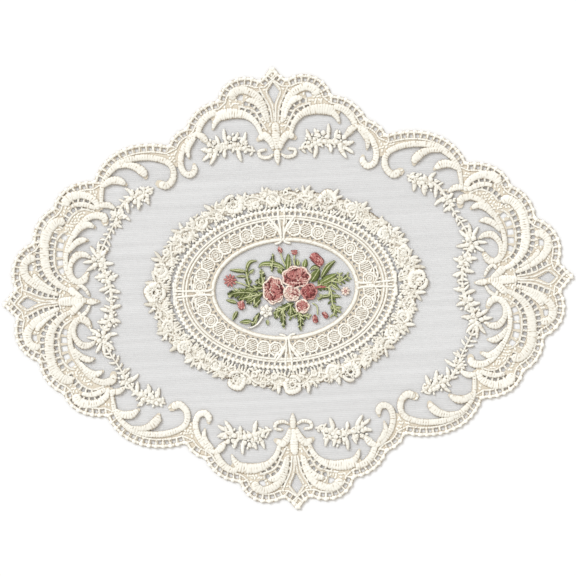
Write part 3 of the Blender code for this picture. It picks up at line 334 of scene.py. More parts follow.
FRONDS = {
    "foliage_left": (
        Frond(BLADE, 2.2, ((-26.7, 13.4), (-38.2, 15.2))),
        Frond(BLADE, 2.2, ((-26.7, 13.4), (-23.9, 19.5), (-18.5, 20.8))),
        Frond(BLADE, 1.8, ((-24.7, 12.1), (-20.9, 14.8))),
        Frond(BLADE, 1.6, ((-26.9, 10.1), (-33.9, 10.3))),
        Frond(SPRIG, 3, ((-24.7, 3.2), (-25.9, 8.2), (-26.7, 13.4))),
        Frond(BLADE, 2.8, ((0.5, 14.1), (-4.8, 17.2), (-14.1, 18.3), (-17.9, 15.7))),
        Frond(FEATHER, 3.6, ((-8.6, 12.1), (-8.1, 17.8), (-7.2, 24.8))),
        Frond(FEATHER, 4.4, ((-15.1, 0.7), (-15.5, 6.3), (-15.9, 14.5))),
        Frond(FEATHER, 7.4, ((-19.9, -2.3), (-31.6, -1), (-39.8, -2.3))),
        Frond(STEM, 1.2, ((-23.1, 1.8), (-29.6, 4.9), (-34.9, 6.8))),
        Frond(FEATHER, 6.4, ((-15.5, -1.4), (-20.6, -4.7), (-27.1, -8.6))),
        Frond(FEATHER, 5.4, ((-15.4, 1.4), (-20.3, 1.6), (-27.3, 1.3))),
        Frond(FEATHER, 4.6, ((-15, 3), (-20, 6.6))),
        Frond(FEATHER, 5, ((-17, -3.4), (-25, -4.2), (-33.4, -5.6))),
        Frond(FEATHER, 4.6, ((-17.5, -6.5), (-22.5, -11.5))),
        Frond(BLADE, 2.2, ((-34.1, -8.1), (-41.7, -5.7))),
        Frond(BLADE, 2.6, ((-34, -13.8), (-37.8, -20.3))),
        Frond(BLADE, 2.6, ((-24.3, -21.3), (-33, -21.7))),
        Frond(FEATHER, 4, ((-18.7, -15.6), (-24.4, -24.8))),
        Frond(FEATHER, 4.6, ((1.1, 8.3), (-3.9, 15.9))),
        Frond(BLADE, 3.4, ((2.1, 12.4), (3, 18.7), (3.6, 24.5))),
        Frond(STEM, 1, ((-2.1, 25.6), (-0.7, 20.6), (1.4, 15.4))),
    ),
    "foliage_right": (
        Frond(BLADE, 2.4, ((9.9, 15.5), (9.4, 20.5))),
        Frond(STEM, 1, ((7.9, 23.6), (7.2, 19), (8, 14.8))),
        Frond(BLADE, 3.2, ((14, 13.6), (15.7, 20.3))),
        Frond(BLADE, 5.2, ((18.4, 3.9), (24.7, 12.9))),
        Frond(BLADE, 2.2, ((24.7, 13.4), (21, 14.3), (18.1, 12.3))),
        Frond(BLADE, 3.4, ((25.5, 6.3), (30.8, 13.8), (36.1, 18.1))),
        Frond(BLADE, 4.4, ((24.3, 2.5), (36.5, 8.6))),
        Frond(SPRIG, 3.6, ((22.4, 0.9), (31.6, 3.9), (37.8, 2.9), (45, 6.9))),
        Frond(SPRIG, 2.4, ((37.7, 2.8), (38.9, 9.3))),
        Frond(SPRIG, 3.6, ((21.7, -0.1), (29.7, -0.5), (32.1, -3.1), (32.5, -11.4), (34, -15.6),
                           (32.9, -20.5))),
        Frond(BLADE, 2, ((32.7, -6.6), (38.9, -7.4))),
        Frond(BLADE, 2.2, ((31.5, -6.3), (23.2, -7.2))),
        Frond(BLADE, 1.8, ((34.3, -15.1), (38.9, -14.6))),
        Frond(BLADE, 1.8, ((33.9, -15.8), (38.7, -18.7))),
        Frond(BLADE, 2.2, ((32, 2.2), (38.7, -2.7))),
        Frond(SPRIG, 2, ((22.6, -9.6), (25.7, -4.9))),
    ),
    "foliage_low": (
        Frond(FEATHER, 6, ((5.8, -10.2), (-1.4, -13.3), (-8.6, -17.2))),
        Frond(FEATHER, 4.4, ((-2, -11.9), (-2.3, -18.2), (-2.2, -27.3))),
        Frond(FEATHER, 5, ((7.7, -14.5), (9.8, -20.9), (9.4, -29.3))),
        Frond(SPRIG, 3.2, ((9.6, -17.4), (2.5, -19.8))),
        Frond(SPRIG, 3, ((11.6, -18.9), (16.5, -20.9))),
        Frond(STEM, 1.4, ((18.4, -10.8), (21.7, -13.4), (21.8, -19.4))),
        Frond(FEATHER, 4.4, ((2.9, -10.8), (3.4, -15.7), (2.5, -19.5))),
        Frond(FEATHER, 4.4, ((-5.5, -12.5), (-7.5, -20.5))),
        Frond(FEATHER, 4.4, ((4.5, -13), (6.5, -17.5))),
        Frond(BLADE, 1.8, ((-13.7, -20.8), (-13.3, -25))),
    ),
}




def place(point: Sequence[float], quarter: Quarter) -> Point:
    """Carry a point of the charted quarter to another quarter.

    Args:
        point: The point in the north-east quarter.
        quarter: The quarter it goes to.

    Returns:
        The point there.
    """
    x = point[0] * (EAST_REACH if quarter.side > 0 else WEST_REACH) / EAST_REACH
    y = point[1] * (NORTH_REACH if quarter.end > 0 else SOUTH_REACH) / NORTH_REACH
    radius = max(math.hypot(x, y), FINE_STEP)
    spread = math.hypot(x / EAST_REACH, y / NORTH_REACH)
    push = quarter.swell * spread * 2 * x * y / radius ** 3
    x += x * push
    y += y * push
    return quarter.side * x - AXIS_SKEW * quarter.end * y, quarter.end * y


def smooth(route: Route, steps: int = 6) -> list[tuple[float, ...]]:
    """Run a smooth curve through a route.

    Args:
        route: The points to pass, of any number of values.
        steps: How many points each stretch gets.

    Returns:
        The points of the curve.
    """
    first = tuple(2 * a - b for a, b in zip(route[0], route[1]))
    last = tuple(2 * a - b for a, b in zip(route[-1], route[-2]))
    knots = (first, *map(tuple, route), last)
    points = []
    for index in range(1, len(knots) - 2):
        before, start, stop, after = knots[index - 1:index + 3]
        for step in range(steps):
            t = step / steps
            points.append(tuple(
                0.5 * (2 * q + (r - p) * t + (2 * p - 5 * q + 4 * r - s) * t * t
                       + (3 * q - p - 3 * r + s) * t ** 3)
                for p, q, r, s in zip(before, start, stop, after)))
    points.append(tuple(route[-1]))
    return points


def ray(turn: float, reach: float, centre: Point = (0.0, 0.0)) -> Point:
    """Return the point at a distance from a centre, in a direction in radians."""
    return centre[0] + reach * math.cos(turn), centre[1] + reach * math.sin(turn)


def on_oval(half: Point, turn: float, centre: Point = (0.0, RING_CENTRE_Y)) -> Point:
    """Return the point of an oval, of the half widths given, in a direction."""
    return centre[0] + half[0] * math.cos(turn), centre[1] + half[1] * math.sin(turn)


def oval(half: Point, count: int = OVAL_POINTS) -> list[Point]:
    """Return points of an oval round the ring's centre, at even angles."""
    return [on_oval(half, math.tau * index / count) for index in range(count)]


def marks_on_oval(half: Point, pitch: float, offset: float = 0.5) -> list[Mark]:
    """Return marks spaced evenly along an oval round the ring's centre."""
    return marks_along([*oval(half), oval(half)[0]], pitch, offset)


def marks_along(line: Route, pitch: float, offset: float = 0.0) -> list[Mark]:
    """Space marks evenly along a line.

    Args:
        line: The line's points.
        pitch: The wanted distance between marks.
        offset: Where the first mark is, as a share of the pitch.

    Returns:
        Each mark's place, with the line's direction there.
    """
    lengths = [math.dist(a[:2], b[:2]) for a, b in zip(line, line[1:])]
    count = max(1, round(sum(lengths) / pitch))
    marks = []
    for index in range(count + (0 if offset else 1)):
        reach = (index + offset) / count * sum(lengths)
        step = 0
        while step < len(lengths) - 1 and reach > lengths[step]:
            reach -= lengths[step]
            step += 1
        run_x = line[step + 1][0] - line[step][0]
        run_y = line[step + 1][1] - line[step][1]
        share = min(1.0, reach / max(lengths[step], MM))
        marks.append(((line[step][0] + run_x * share, line[step][1] + run_y * share),
                      math.atan2(run_y, run_x)))
    return marks


def block(centre: Point, across: float, along: float, turn: float) -> list[Point]:
    """Return an oblong with rounded corners.

    Args:
        centre: Its middle.
        across: Its width.
        along: Its length.
        turn: The direction of its length.

    Returns:
        Its eight corners, anticlockwise.
    """
    corners = []
    for u, v in ((-1, -0.5), (-0.5, -1), (0.5, -1), (1, -0.5), (1, 0.5), (0.5, 1), (-0.5, 1), (-1, 0.5)):
        middle = ray(turn, u * along / 2, centre)
        corners.append(ray(turn + math.pi / 2, v * across / 2, middle))
    return corners


def scallop_arc(start: Point, scallop: Scallop, inset: float) -> list[Point]:
    """Read the arc of a scallop, moved inwards.

    Args:
        start: Where the scallop starts.
        scallop: Its end, bulge and lean.
        inset: How far the arc is moved inwards.

    Returns:
        The points of the arc, from its start to its end.
    """
    run_x = scallop.x - start[0]
    run_y = scallop.y - start[1]
    chord = math.hypot(run_x, run_y)
    along = (run_x / chord, run_y / chord)
    bulge = abs(scallop.bulge)
    sign = math.copysign(1, scallop.bulge)
    radius = (chord ** 2 / 4 + bulge ** 2) / (2 * bulge)
    half = math.asin(min(1.0, chord / 2 / radius))
    count = max(1, round(chord / FINE_STEP))
    points = []
    for index in range(count + 1):
        angle = half * (2 * index / count - 1)
        lean = 1 + scallop.lean * 2 * radius * math.sin(angle) / chord
        u = chord / 2 + (radius - sign * inset) * math.sin(angle)
        v = sign * (radius * math.cos(angle) - radius + bulge) * lean - inset * math.cos(angle)
        points.append((start[0] + along[0] * u - along[1] * v, start[1] + along[1] * u + along[0] * v))
    return points


def scallop_arcs(inset: float) -> list[list[Point]]:
    """Return the charted quarter's arcs at an inset, from the north tip to the east tip."""
    starts = [(0.0, NORTH_REACH), *((scallop.x, scallop.y) for scallop in SCALLOPS)]
    return [scallop_arc(start, scallop, inset) for start, scallop in zip(starts, SCALLOPS)]


# Thread work.


class Stitch(Enum):
    """Ways to lay thread: pitch and depth of its ridges in mm, and their slant."""

    SATIN = (1.8, 0.4, 0.14)
    CORD = (1.8, 0.2, 0.7)
    ROPE = (2.4, 0.16, 0.9)
    LEAF = (1.4, 0.2, 0.6)
    PETAL = (1.2, 0.18, 0.12)


class Stroke(NamedTuple):
    """A sewn stroke: its route, its edge's height, its crown, shade and stitch."""

    route: list[Knot]
    edge: float
    crown: float
    shade: float
    stitch: Stitch
    closed: bool


class Bead(NamedTuple):
    """A single knot of thread: its place, size, direction and shade."""

    x: float
    y: float
    z: float
    length: float
    width: float
    turn: float
    shade: float


GOLDEN_TURN = 2.4  # from one stitch to the next, where they fill a disc evenly
FULLNESS = 1.06  # how much broader the border's strokes are sewn than charted
THIN = 2.0  # a stroke that is narrower is a cord
CROWN_LEAST = 0.4
CROWN_SHARE = 0.13
CROWN_MOST = 1.1


def sew(route: Route, shade: float = 0.6, edge: float = STITCH_EDGE,
        stitch: Stitch = Stitch.SATIN, closed: bool = False, crown: float | None = None) -> Stroke:
    """Make a stroke whose crown grows with its width.

    Args:
        route: Its points and widths.
        shade: Its place in the finish's range of shades.
        edge: The height of its edges.
        stitch: How its thread is laid.
        closed: Whether its end joins its start.
        crown: Its crown, where that doesn't follow from its width.

    Returns:
        The stroke.
    """
    widest = max(point[2] for point in route)
    full = min(CROWN_MOST, CROWN_LEAST + CROWN_SHARE * widest)
    return Stroke(list(route), edge, full if crown is None else crown, shade, stitch, closed)


def sew_table(table: dict[str, tuple[Knot, ...]], quarter: Quarter, chance: Random) -> Iterator[Stroke]:
    """Sew every stroke of a table in a quarter.

    Args:
        table: Routes by name, charted in the north-east quarter.
        quarter: The quarter to sew them in.
        chance: The source of small differences in shade.

    Returns:
        The strokes.
    """
    for name, route in table.items():
        curve = [(*place(point, quarter), point[2] * FULLNESS) for point in smooth(route)]
        stitch = Stitch.CORD if max(point[2] for point in route) < THIN else Stitch.SATIN
        lift = LAYER * ("leaf" in name or "inner" in name)
        yield sew(curve, chance.uniform(0.5, 0.8), STITCH_EDGE + lift, stitch)


def straight(spot: Point, turn: float, reach: float, width: float, tip: float | None = None) -> list[Knot]:
    """Return a short straight route through a place.

    Args:
        spot: Its middle.
        turn: Its direction.
        reach: Half its length.
        width: Its width.
        tip: Its width at both ends, where that differs.

    Returns:
        Its three points.
    """
    end = width if tip is None else tip
    return [(*ray(turn, -reach, spot), end), (*spot, width), (*ray(turn, reach, spot), end)]


def leaf_stroke(leaf: Leaf, shade: float, edge: float, quarter: Quarter | None = None) -> Stroke:
    """Sew a pointed leaf as one stroke.

    Args:
        leaf: The leaf's sizes.
        shade: Its shade.
        edge: The height of its edges.
        quarter: The quarter it is placed in, or none where it is already there.

    Returns:
        The stroke.
    """
    run_x = leaf.tip_x - leaf.x
    run_y = leaf.tip_y - leaf.y
    length = math.hypot(run_x, run_y)
    route = []
    for along, share in ((0.0, 0.4), (0.28, 0.85), (0.54, 1.0), (0.82, 0.7), (1.0, 0.24)):
        bow = leaf.bow * 4 * along * (1 - along) / length
        spot = (leaf.x + run_x * along - run_y * bow, leaf.y + run_y * along + run_x * bow)
        route.append((*(place(spot, quarter) if quarter else spot), leaf.width * share))
    return sew(smooth(route, 4), shade, edge, Stitch.LEAF)


def blade_stroke(route: Sequence[Point], width: float, shade: float, edge: float,
                 side: float = 0.0) -> Stroke:
    """Sew a pointed blade along a route, or a line beside it.

    Args:
        route: The route's points.
        width: The blade's greatest width.
        shade: Its shade.
        edge: The height of its edges.
        side: How far it lies to the left of the route at its broadest.

    Returns:
        The stroke.
    """
    line = smooth(route)
    points = []
    for index, spot in enumerate(line):
        behind = line[max(index - 1, 0)]
        ahead = line[min(index + 1, len(line) - 1)]
        turn = math.atan2(ahead[1] - behind[1], ahead[0] - behind[0]) + math.pi / 2
        swell = math.sin(math.pi * (index / (len(line) - 1)) ** 0.8)
        points.append((*ray(turn, side * swell, spot), width * (0.25 + 0.75 * swell)))
    return sew(points, shade, edge, Stitch.LEAF)


@dataclass(frozen=True)
class Leaflets:
    """Small leaves in pairs along a stem. Sizes are in mm, and ranges are least and most."""

    pitch: float
    width: float
    lean: Span  # radians from the stem
    reach: Span  # shares of the spread
    shades: Span
    edge: float
    step: float = 0.0  # how much higher every other pair lies

    def sew(self, stem: Route, spread: float, chance: Random) -> Iterator[Stroke]:
        """Sew the leaflets of a stem.

        Args:
            stem: The stem's points.
            spread: How far the leaflets reach.
            chance: The source of small differences.

        Returns:
            The strokes.
        """
        for index, (spot, turn) in enumerate(marks_along(stem, self.pitch, 0.5)):
            for side in (1, -1):
                lean = turn + side * chance.uniform(*self.lean)
                tip = ray(lean, spread * chance.uniform(*self.reach), spot)
                yield leaf_stroke(Leaf(*spot, *tip, self.width, side * 0.3), chance.uniform(*self.shades),
                                  self.edge + self.step * (index % 2))


@dataclass(frozen=True)
class RoseShades:
    """Shades of a rose, from 0, the deepest of its thread, to 1, the palest."""

    petals: int  # round its rim
    rim: float
    outer: float
    inner: float
    heart: float
    deep_share: float
    gleam: float  # the direction of its pale side, in radians
    folds: tuple[float, ...]  # the directions that its inner petals face
    waves: int = 3


@dataclass(frozen=True)
class Patch:
    """A round place for a flower: its centre, half widths and lowest edge, in mm."""

    centre: Point
    half: Point
    edge: float

    def part(self, share: float, lift: float = 0.0) -> "Patch":
        """Return the patch at a share of its size, with its edge lifted."""
        return Patch(self.centre, (self.half[0] * share, self.half[1] * share), self.edge + lift)

    def at(self, turn: float, share: float = 1.0) -> Point:
        """Return the point in a direction, at a share of the half widths."""
        return on_oval(self.part(share).half, turn, self.centre)

    def arc(self, turn: float, span: float, share: float, width: float, shade: float) -> Stroke:
        """Sew a petal or a crescent as a tapered arc round the centre.

        Args:
            turn: The direction of the arc's middle.
            span: The angle that it covers.
            share: Its distance from the centre, as a share of the half widths.
            width: Its width.
            shade: Its shade.

        Returns:
            The stroke.
        """
        route = []
        for along, taper in ((-0.5, 0.4), (-0.3, 0.9), (0.0, 1.0), (0.3, 0.9), (0.5, 0.4)):
            spot = self.at(turn + span * along, share * (1.0 - 0.4 * along * along))
            route.append((*spot, width * taper))
        return sew(smooth(route, 5), shade, self.edge, Stitch.PETAL)

    def ring(self, width: float, shade: float, waves: int = 0, depth: float = 0.0) -> Stroke:
        """Sew a closed cord round the centre, wavy or plain.

        Args:
            width: The cord's width.
            shade: Its shade.
            waves: How many waves it has.
            depth: How deep they are, as a share of the half widths.

        Returns:
            The stroke.
        """
        count = max(12, round((self.half[0] + self.half[1]) * 3))
        turns = [math.tau * index / count for index in range(count)]
        route = [(*self.at(turn, 1 + depth * math.cos(waves * turn)), width) for turn in turns]
        return sew(route, shade, self.edge, Stitch.CORD, True)

    def disc(self, shade: float, turn: float = 0.0, crown: float | None = None) -> Stroke:
        """Fill the patch in one broad stroke along its length.

        Args:
            shade: Its shade.
            turn: The direction of its half length.
            crown: Its crown, where that doesn't follow from its width.

        Returns:
            The stroke.
        """
        lean = turn + (math.pi / 2 if self.half[1] > self.half[0] else 0.0)
        route = straight(self.centre, lean, max(self.half), min(self.half) * 2)
        return sew(route, shade, self.edge, Stitch.PETAL, crown=crown)

    def daisy(self, turn: float, shade: float, petals: int = 5, slim: float = 1.0) -> Iterator[Stroke]:
        """Sew short petals round a knot.

        Args:
            turn: The first petal's direction.
            shade: Their shade.
            petals: How many there are.
            slim: A factor on their width.

        Returns:
            The strokes.
        """
        radius = self.half[0]
        for index in range(petals):
            route = [(*self.at(turn + math.tau * index / petals, reach), radius * share * slim)
                     for reach, share in ((0.22, 0.3), (0.55, 0.74), (0.82, 0.7), (1.0, 0.36))]
            yield sew(smooth(route, 4), shade, self.edge + LAYER * (index % 2) / 2, Stitch.PETAL)
        yield self.part(0.2, LAYER).disc(shade - 0.15)

    def comb_rose(self, turn: float, shade: float) -> list[Stroke]:
        """Sew a rose seen from its side: a combed crescent round a ringed heart.

        Args:
            turn: The direction that its crescent faces.
            shade: Its shade.

        Returns:
            The strokes.
        """
        radius = self.half[0]
        crescent = self.arc(turn, 4.4, 0.74, radius * 0.56, shade)
        back = self.part(1.0, LAYER).arc(turn + math.pi, 1.7, 0.8, radius * 0.4, shade - 0.1)
        return [crescent._replace(stitch=Stitch.SATIN), back, self.part(0.3).ring(radius * 0.26, shade)]

    def full_rose(self, shades: RoseShades, chance: Random) -> Iterator[Stroke]:
        """Sew a full rose: a close ground of short stitches, pale rims and a pale patch.

        Args:
            shades: Its shades.
            chance: The source of small differences.

        Returns:
            The strokes.
        """
        top = self.edge + 0.7
        yield self.part(0.95).disc(shades.inner)
        yield self.part(0.93, 0.7 - LAYER).ring(1.6, shades.rim, shades.petals, 0.07)
        count = round((sum(self.half) / 2) ** 2 * 1.1)
        for index in range(count):
            angle = index * GOLDEN_TURN
            share = 0.86 * math.sqrt((index + 0.5) / count)
            petal = math.sin(shades.waves * angle + 6 * share)
            pale = 0.14 * petal + 0.2 * share * math.cos(angle - shades.gleam)
            shade = shades.outer * share + shades.inner * (1 - share) + pale + chance.uniform(-0.1, 0.1)
            if chance.random() < shades.deep_share * (1.4 - petal):
                shade = shades.heart
            lean = angle + 0.9 * petal + chance.uniform(-0.5, 0.5)
            route = straight(self.at(angle, share), lean, chance.uniform(0.8, 1.4), 1.1, 0.7)
            yield sew(route, shade, top + LAYER * chance.random(), Stitch.PETAL)
        for index, turn in enumerate(shades.folds):
            share = 0.3 + 0.24 * (index % 3)
            for step in (-0.45, 0.0, 0.45):
                yield self.part(1.0, 0.7 + LAYER).arc(turn + step, 0.5, share + 0.1 * abs(step), 1.1,
                                                      shades.rim - chance.uniform(0.0, 0.2))


def round_patch(centre: Point, radius: float, edge: float) -> Patch:
    """Return a patch that is a circle."""
    return Patch(centre, (radius, radius), edge)


class Wiring:
    """Short ways to add, set and link the nodes of a tree."""

    def __init__(self, tree: bpy.types.NodeTree) -> None:
        """Work on the tree given."""
        self.tree = tree

    def add(self, kind: str, feeds: dict | None = None, **settings: Any) -> Node:
        """Add a node.

        Args:
            kind: The node's type.
            feeds: A value or a linked socket for each input, by name or number.
            settings: The node's own settings.

        Returns:
            The node.
        """
        node = self.tree.nodes.new(kind)
        for name, value in settings.items():
            setattr(node, name, value)
        self.feed(node, feeds or {})
        return node

    def feed(self, node: Node, feeds: dict) -> None:
        """Set or link a node's inputs.

        Args:
            node: The node.
            feeds: A value or a linked socket for each input, by name or number.
        """
        for name, value in feeds.items():
            if isinstance(value, NodeSocket):
                self.tree.links.new(value, node.inputs[name])
            else:
                node.inputs[name].default_value = value

    def calc(self, operation: str, *values: Any) -> NodeSocket:
        """Add a calculation and return its result."""
        return self.add("ShaderNodeMath", dict(enumerate(values)), operation=operation).outputs[0]

    def place(self) -> NodeSocket:
        """Return a material's place on its object."""
        return self.add("ShaderNodeTexCoord").outputs["Object"]

    def read(self, name: str) -> NodeSocket:
        """Return the value of a named attribute of the geometry."""
        return self.add("GeometryNodeInputNamedAttribute", {"Name": name}, data_type="FLOAT").outputs[0]

    def keep(self, geometry: NodeSocket, name: str, value: NodeSocket, kind: str = "FLOAT",
             domain: str = "POINT") -> NodeSocket:
        """Store a value on a geometry, and return the geometry."""
        feeds = {"Geometry": geometry, "Name": name, "Value": value}
        return self.add("GeometryNodeStoreNamedAttribute", feeds, data_type=kind, domain=domain).outputs[0]

    def moved(self, geometry: NodeSocket, **feeds: Any) -> NodeSocket:
        """Move a geometry's points, and return the geometry."""
        return self.add("GeometryNodeSetPosition", {"Geometry": geometry, **feeds}).outputs[0]

    def spot(self) -> bpy.types.NodeInputs:
        """Return the three coordinates of the geometry's points."""
        position = self.add("GeometryNodeInputPosition").outputs[0]
        return self.add("ShaderNodeSeparateXYZ", {0: position}).outputs

    def vector(self, **axes: Any) -> NodeSocket:
        """Return a vector of the X, Y and Z given."""
        return self.add("ShaderNodeCombineXYZ", axes).outputs[0]

    def noise(self, seed: NodeSocket, scale: float, detail: float) -> NodeSocket:
        """Return a noise that differs with the seed, about nought."""
        feeds = {"W": seed, "Scale": scale, "Detail": detail}
        return self.calc("SUBTRACT", self.add("ShaderNodeTexNoise", feeds, noise_dimensions="4D").outputs[0],
                         0.5)

    def ramp(self, share: NodeSocket, stops: Sequence[tuple[float, Colour]]) -> NodeSocket:
        """Return a colour that changes with a share.

        Args:
            share: The share.
            stops: Each colour, after the share where it stands.

        Returns:
            The colour.
        """
        node = self.add("ShaderNodeValToRGB", {0: share})
        elements = node.color_ramp.elements
        for index, (position, colour) in enumerate(stops):
            element = elements[index] if index < 2 else elements.new(position)
            element.position = position
            element.color = linear(colour)
        return node.outputs[0]


def linear(colour: Colour) -> tuple[float, ...]:
    """Turn a colour in steps of 255 into the values that a shader takes."""
    shares = [value / 255 for value in colour]
    return (*(s / 12.92 if s <= 0.04045 else ((s + 0.055) / 1.055) ** 2.4 for s in shares), 1.0)


def stand(name: str, data: Any) -> Object:
    """Put a mesh, a light or a camera in the scene, as an object at the origin.

    Args:
        name: The object's name.
        data: The mesh, light or camera.

    Returns:
        The object.
    """
    piece = bpy.data.objects.new(name, data)
    bpy.context.scene.collection.objects.link(piece)
    return piece


def marked_mesh(name: str, points: Sequence[Sequence[float]], edges: Sequence[tuple[int, int]],
                columns: Sequence[str], rows: Sequence[Sequence[float]]) -> Mesh:
    """Return a mesh of points and edges that carries named values for each point.

    Args:
        name: The mesh's name.
        points: Its points, in mm on the doily.
        edges: Its edges.
        columns: The names of the values.
        rows: The values of each point.

    Returns:
        The mesh, in metres.
    """
    mesh = bpy.data.meshes.new(name)
    mesh.from_pydata([((x - SHIFT_X) * MM, (y - SHIFT_Y) * MM, z * MM) for x, y, z in points], edges, [])
    for column, values in zip(columns, zip(*rows)):
        mesh.attributes.new(column, "FLOAT", "POINT").data.foreach_set("value", values)
    return mesh


class Grower:
    """A tree of Geometry Nodes that turns marked points into a plain mesh."""

    NAME = ""
    INPUTS: dict[str, str] = {}

    def __init__(self) -> None:
        """Build the tree, with an input for each size and one for the material."""
        self.tree = bpy.data.node_groups.new(self.NAME, "GeometryNodeTree")
        self.keys = {}
        for name, kind in self.INPUTS.items():
            socket = self.tree.interface.new_socket(name, in_out="INPUT", socket_type="NodeSocket" + kind)
            self.keys[name] = socket.identifier
        self.tree.interface.new_socket("Sewn", in_out="OUTPUT", socket_type="NodeSocketGeometry")
        self.wiring = Wiring(self.tree)
        self.given = self.wiring.add("NodeGroupInput").outputs
        add = self.wiring.add
        smoothed = add("GeometryNodeSetShadeSmooth", {"Geometry": self._wire()}).outputs[0]
        real = add("GeometryNodeRealizeInstances", {"Geometry": smoothed}).outputs[0]
        dressed = add("GeometryNodeSetMaterial", {"Geometry": real, "Material": self.given["Thread"]})
        add("NodeGroupOutput", {"Sewn": dressed.outputs[0]})

    def _wire(self) -> NodeSocket:
        """Lay out the tree's own part, and return what it makes."""
        raise NotImplementedError

    def grow(self, name: str, source: Mesh, values: dict[str, Any]) -> Object:
        """Run the tree on a mesh.

        Args:
            name: The piece's name.
            source: The mesh that the tree starts from.
            values: The tree's inputs by name.

        Returns:
            The piece as a plain mesh, with its place in it and its faces outward.
        """
        carrier = stand(name + "_source", source)
        modifier = carrier.modifiers.new(self.NAME, "NODES")
        modifier.node_group = self.tree
        for key, value in values.items():
            modifier[self.keys[key]] = value
        graph = bpy.context.evaluated_depsgraph_get()
        mesh = bpy.data.meshes.new_from_object(carrier.evaluated_get(graph), depsgraph=graph)
        bpy.data.objects.remove(carrier, do_unlink=True)
        mesh.name = name
        if sum(face.area * face.normal.dot(face.center) for face in mesh.polygons) < 0:
            mesh.flip_normals()
        return stand(name, mesh)


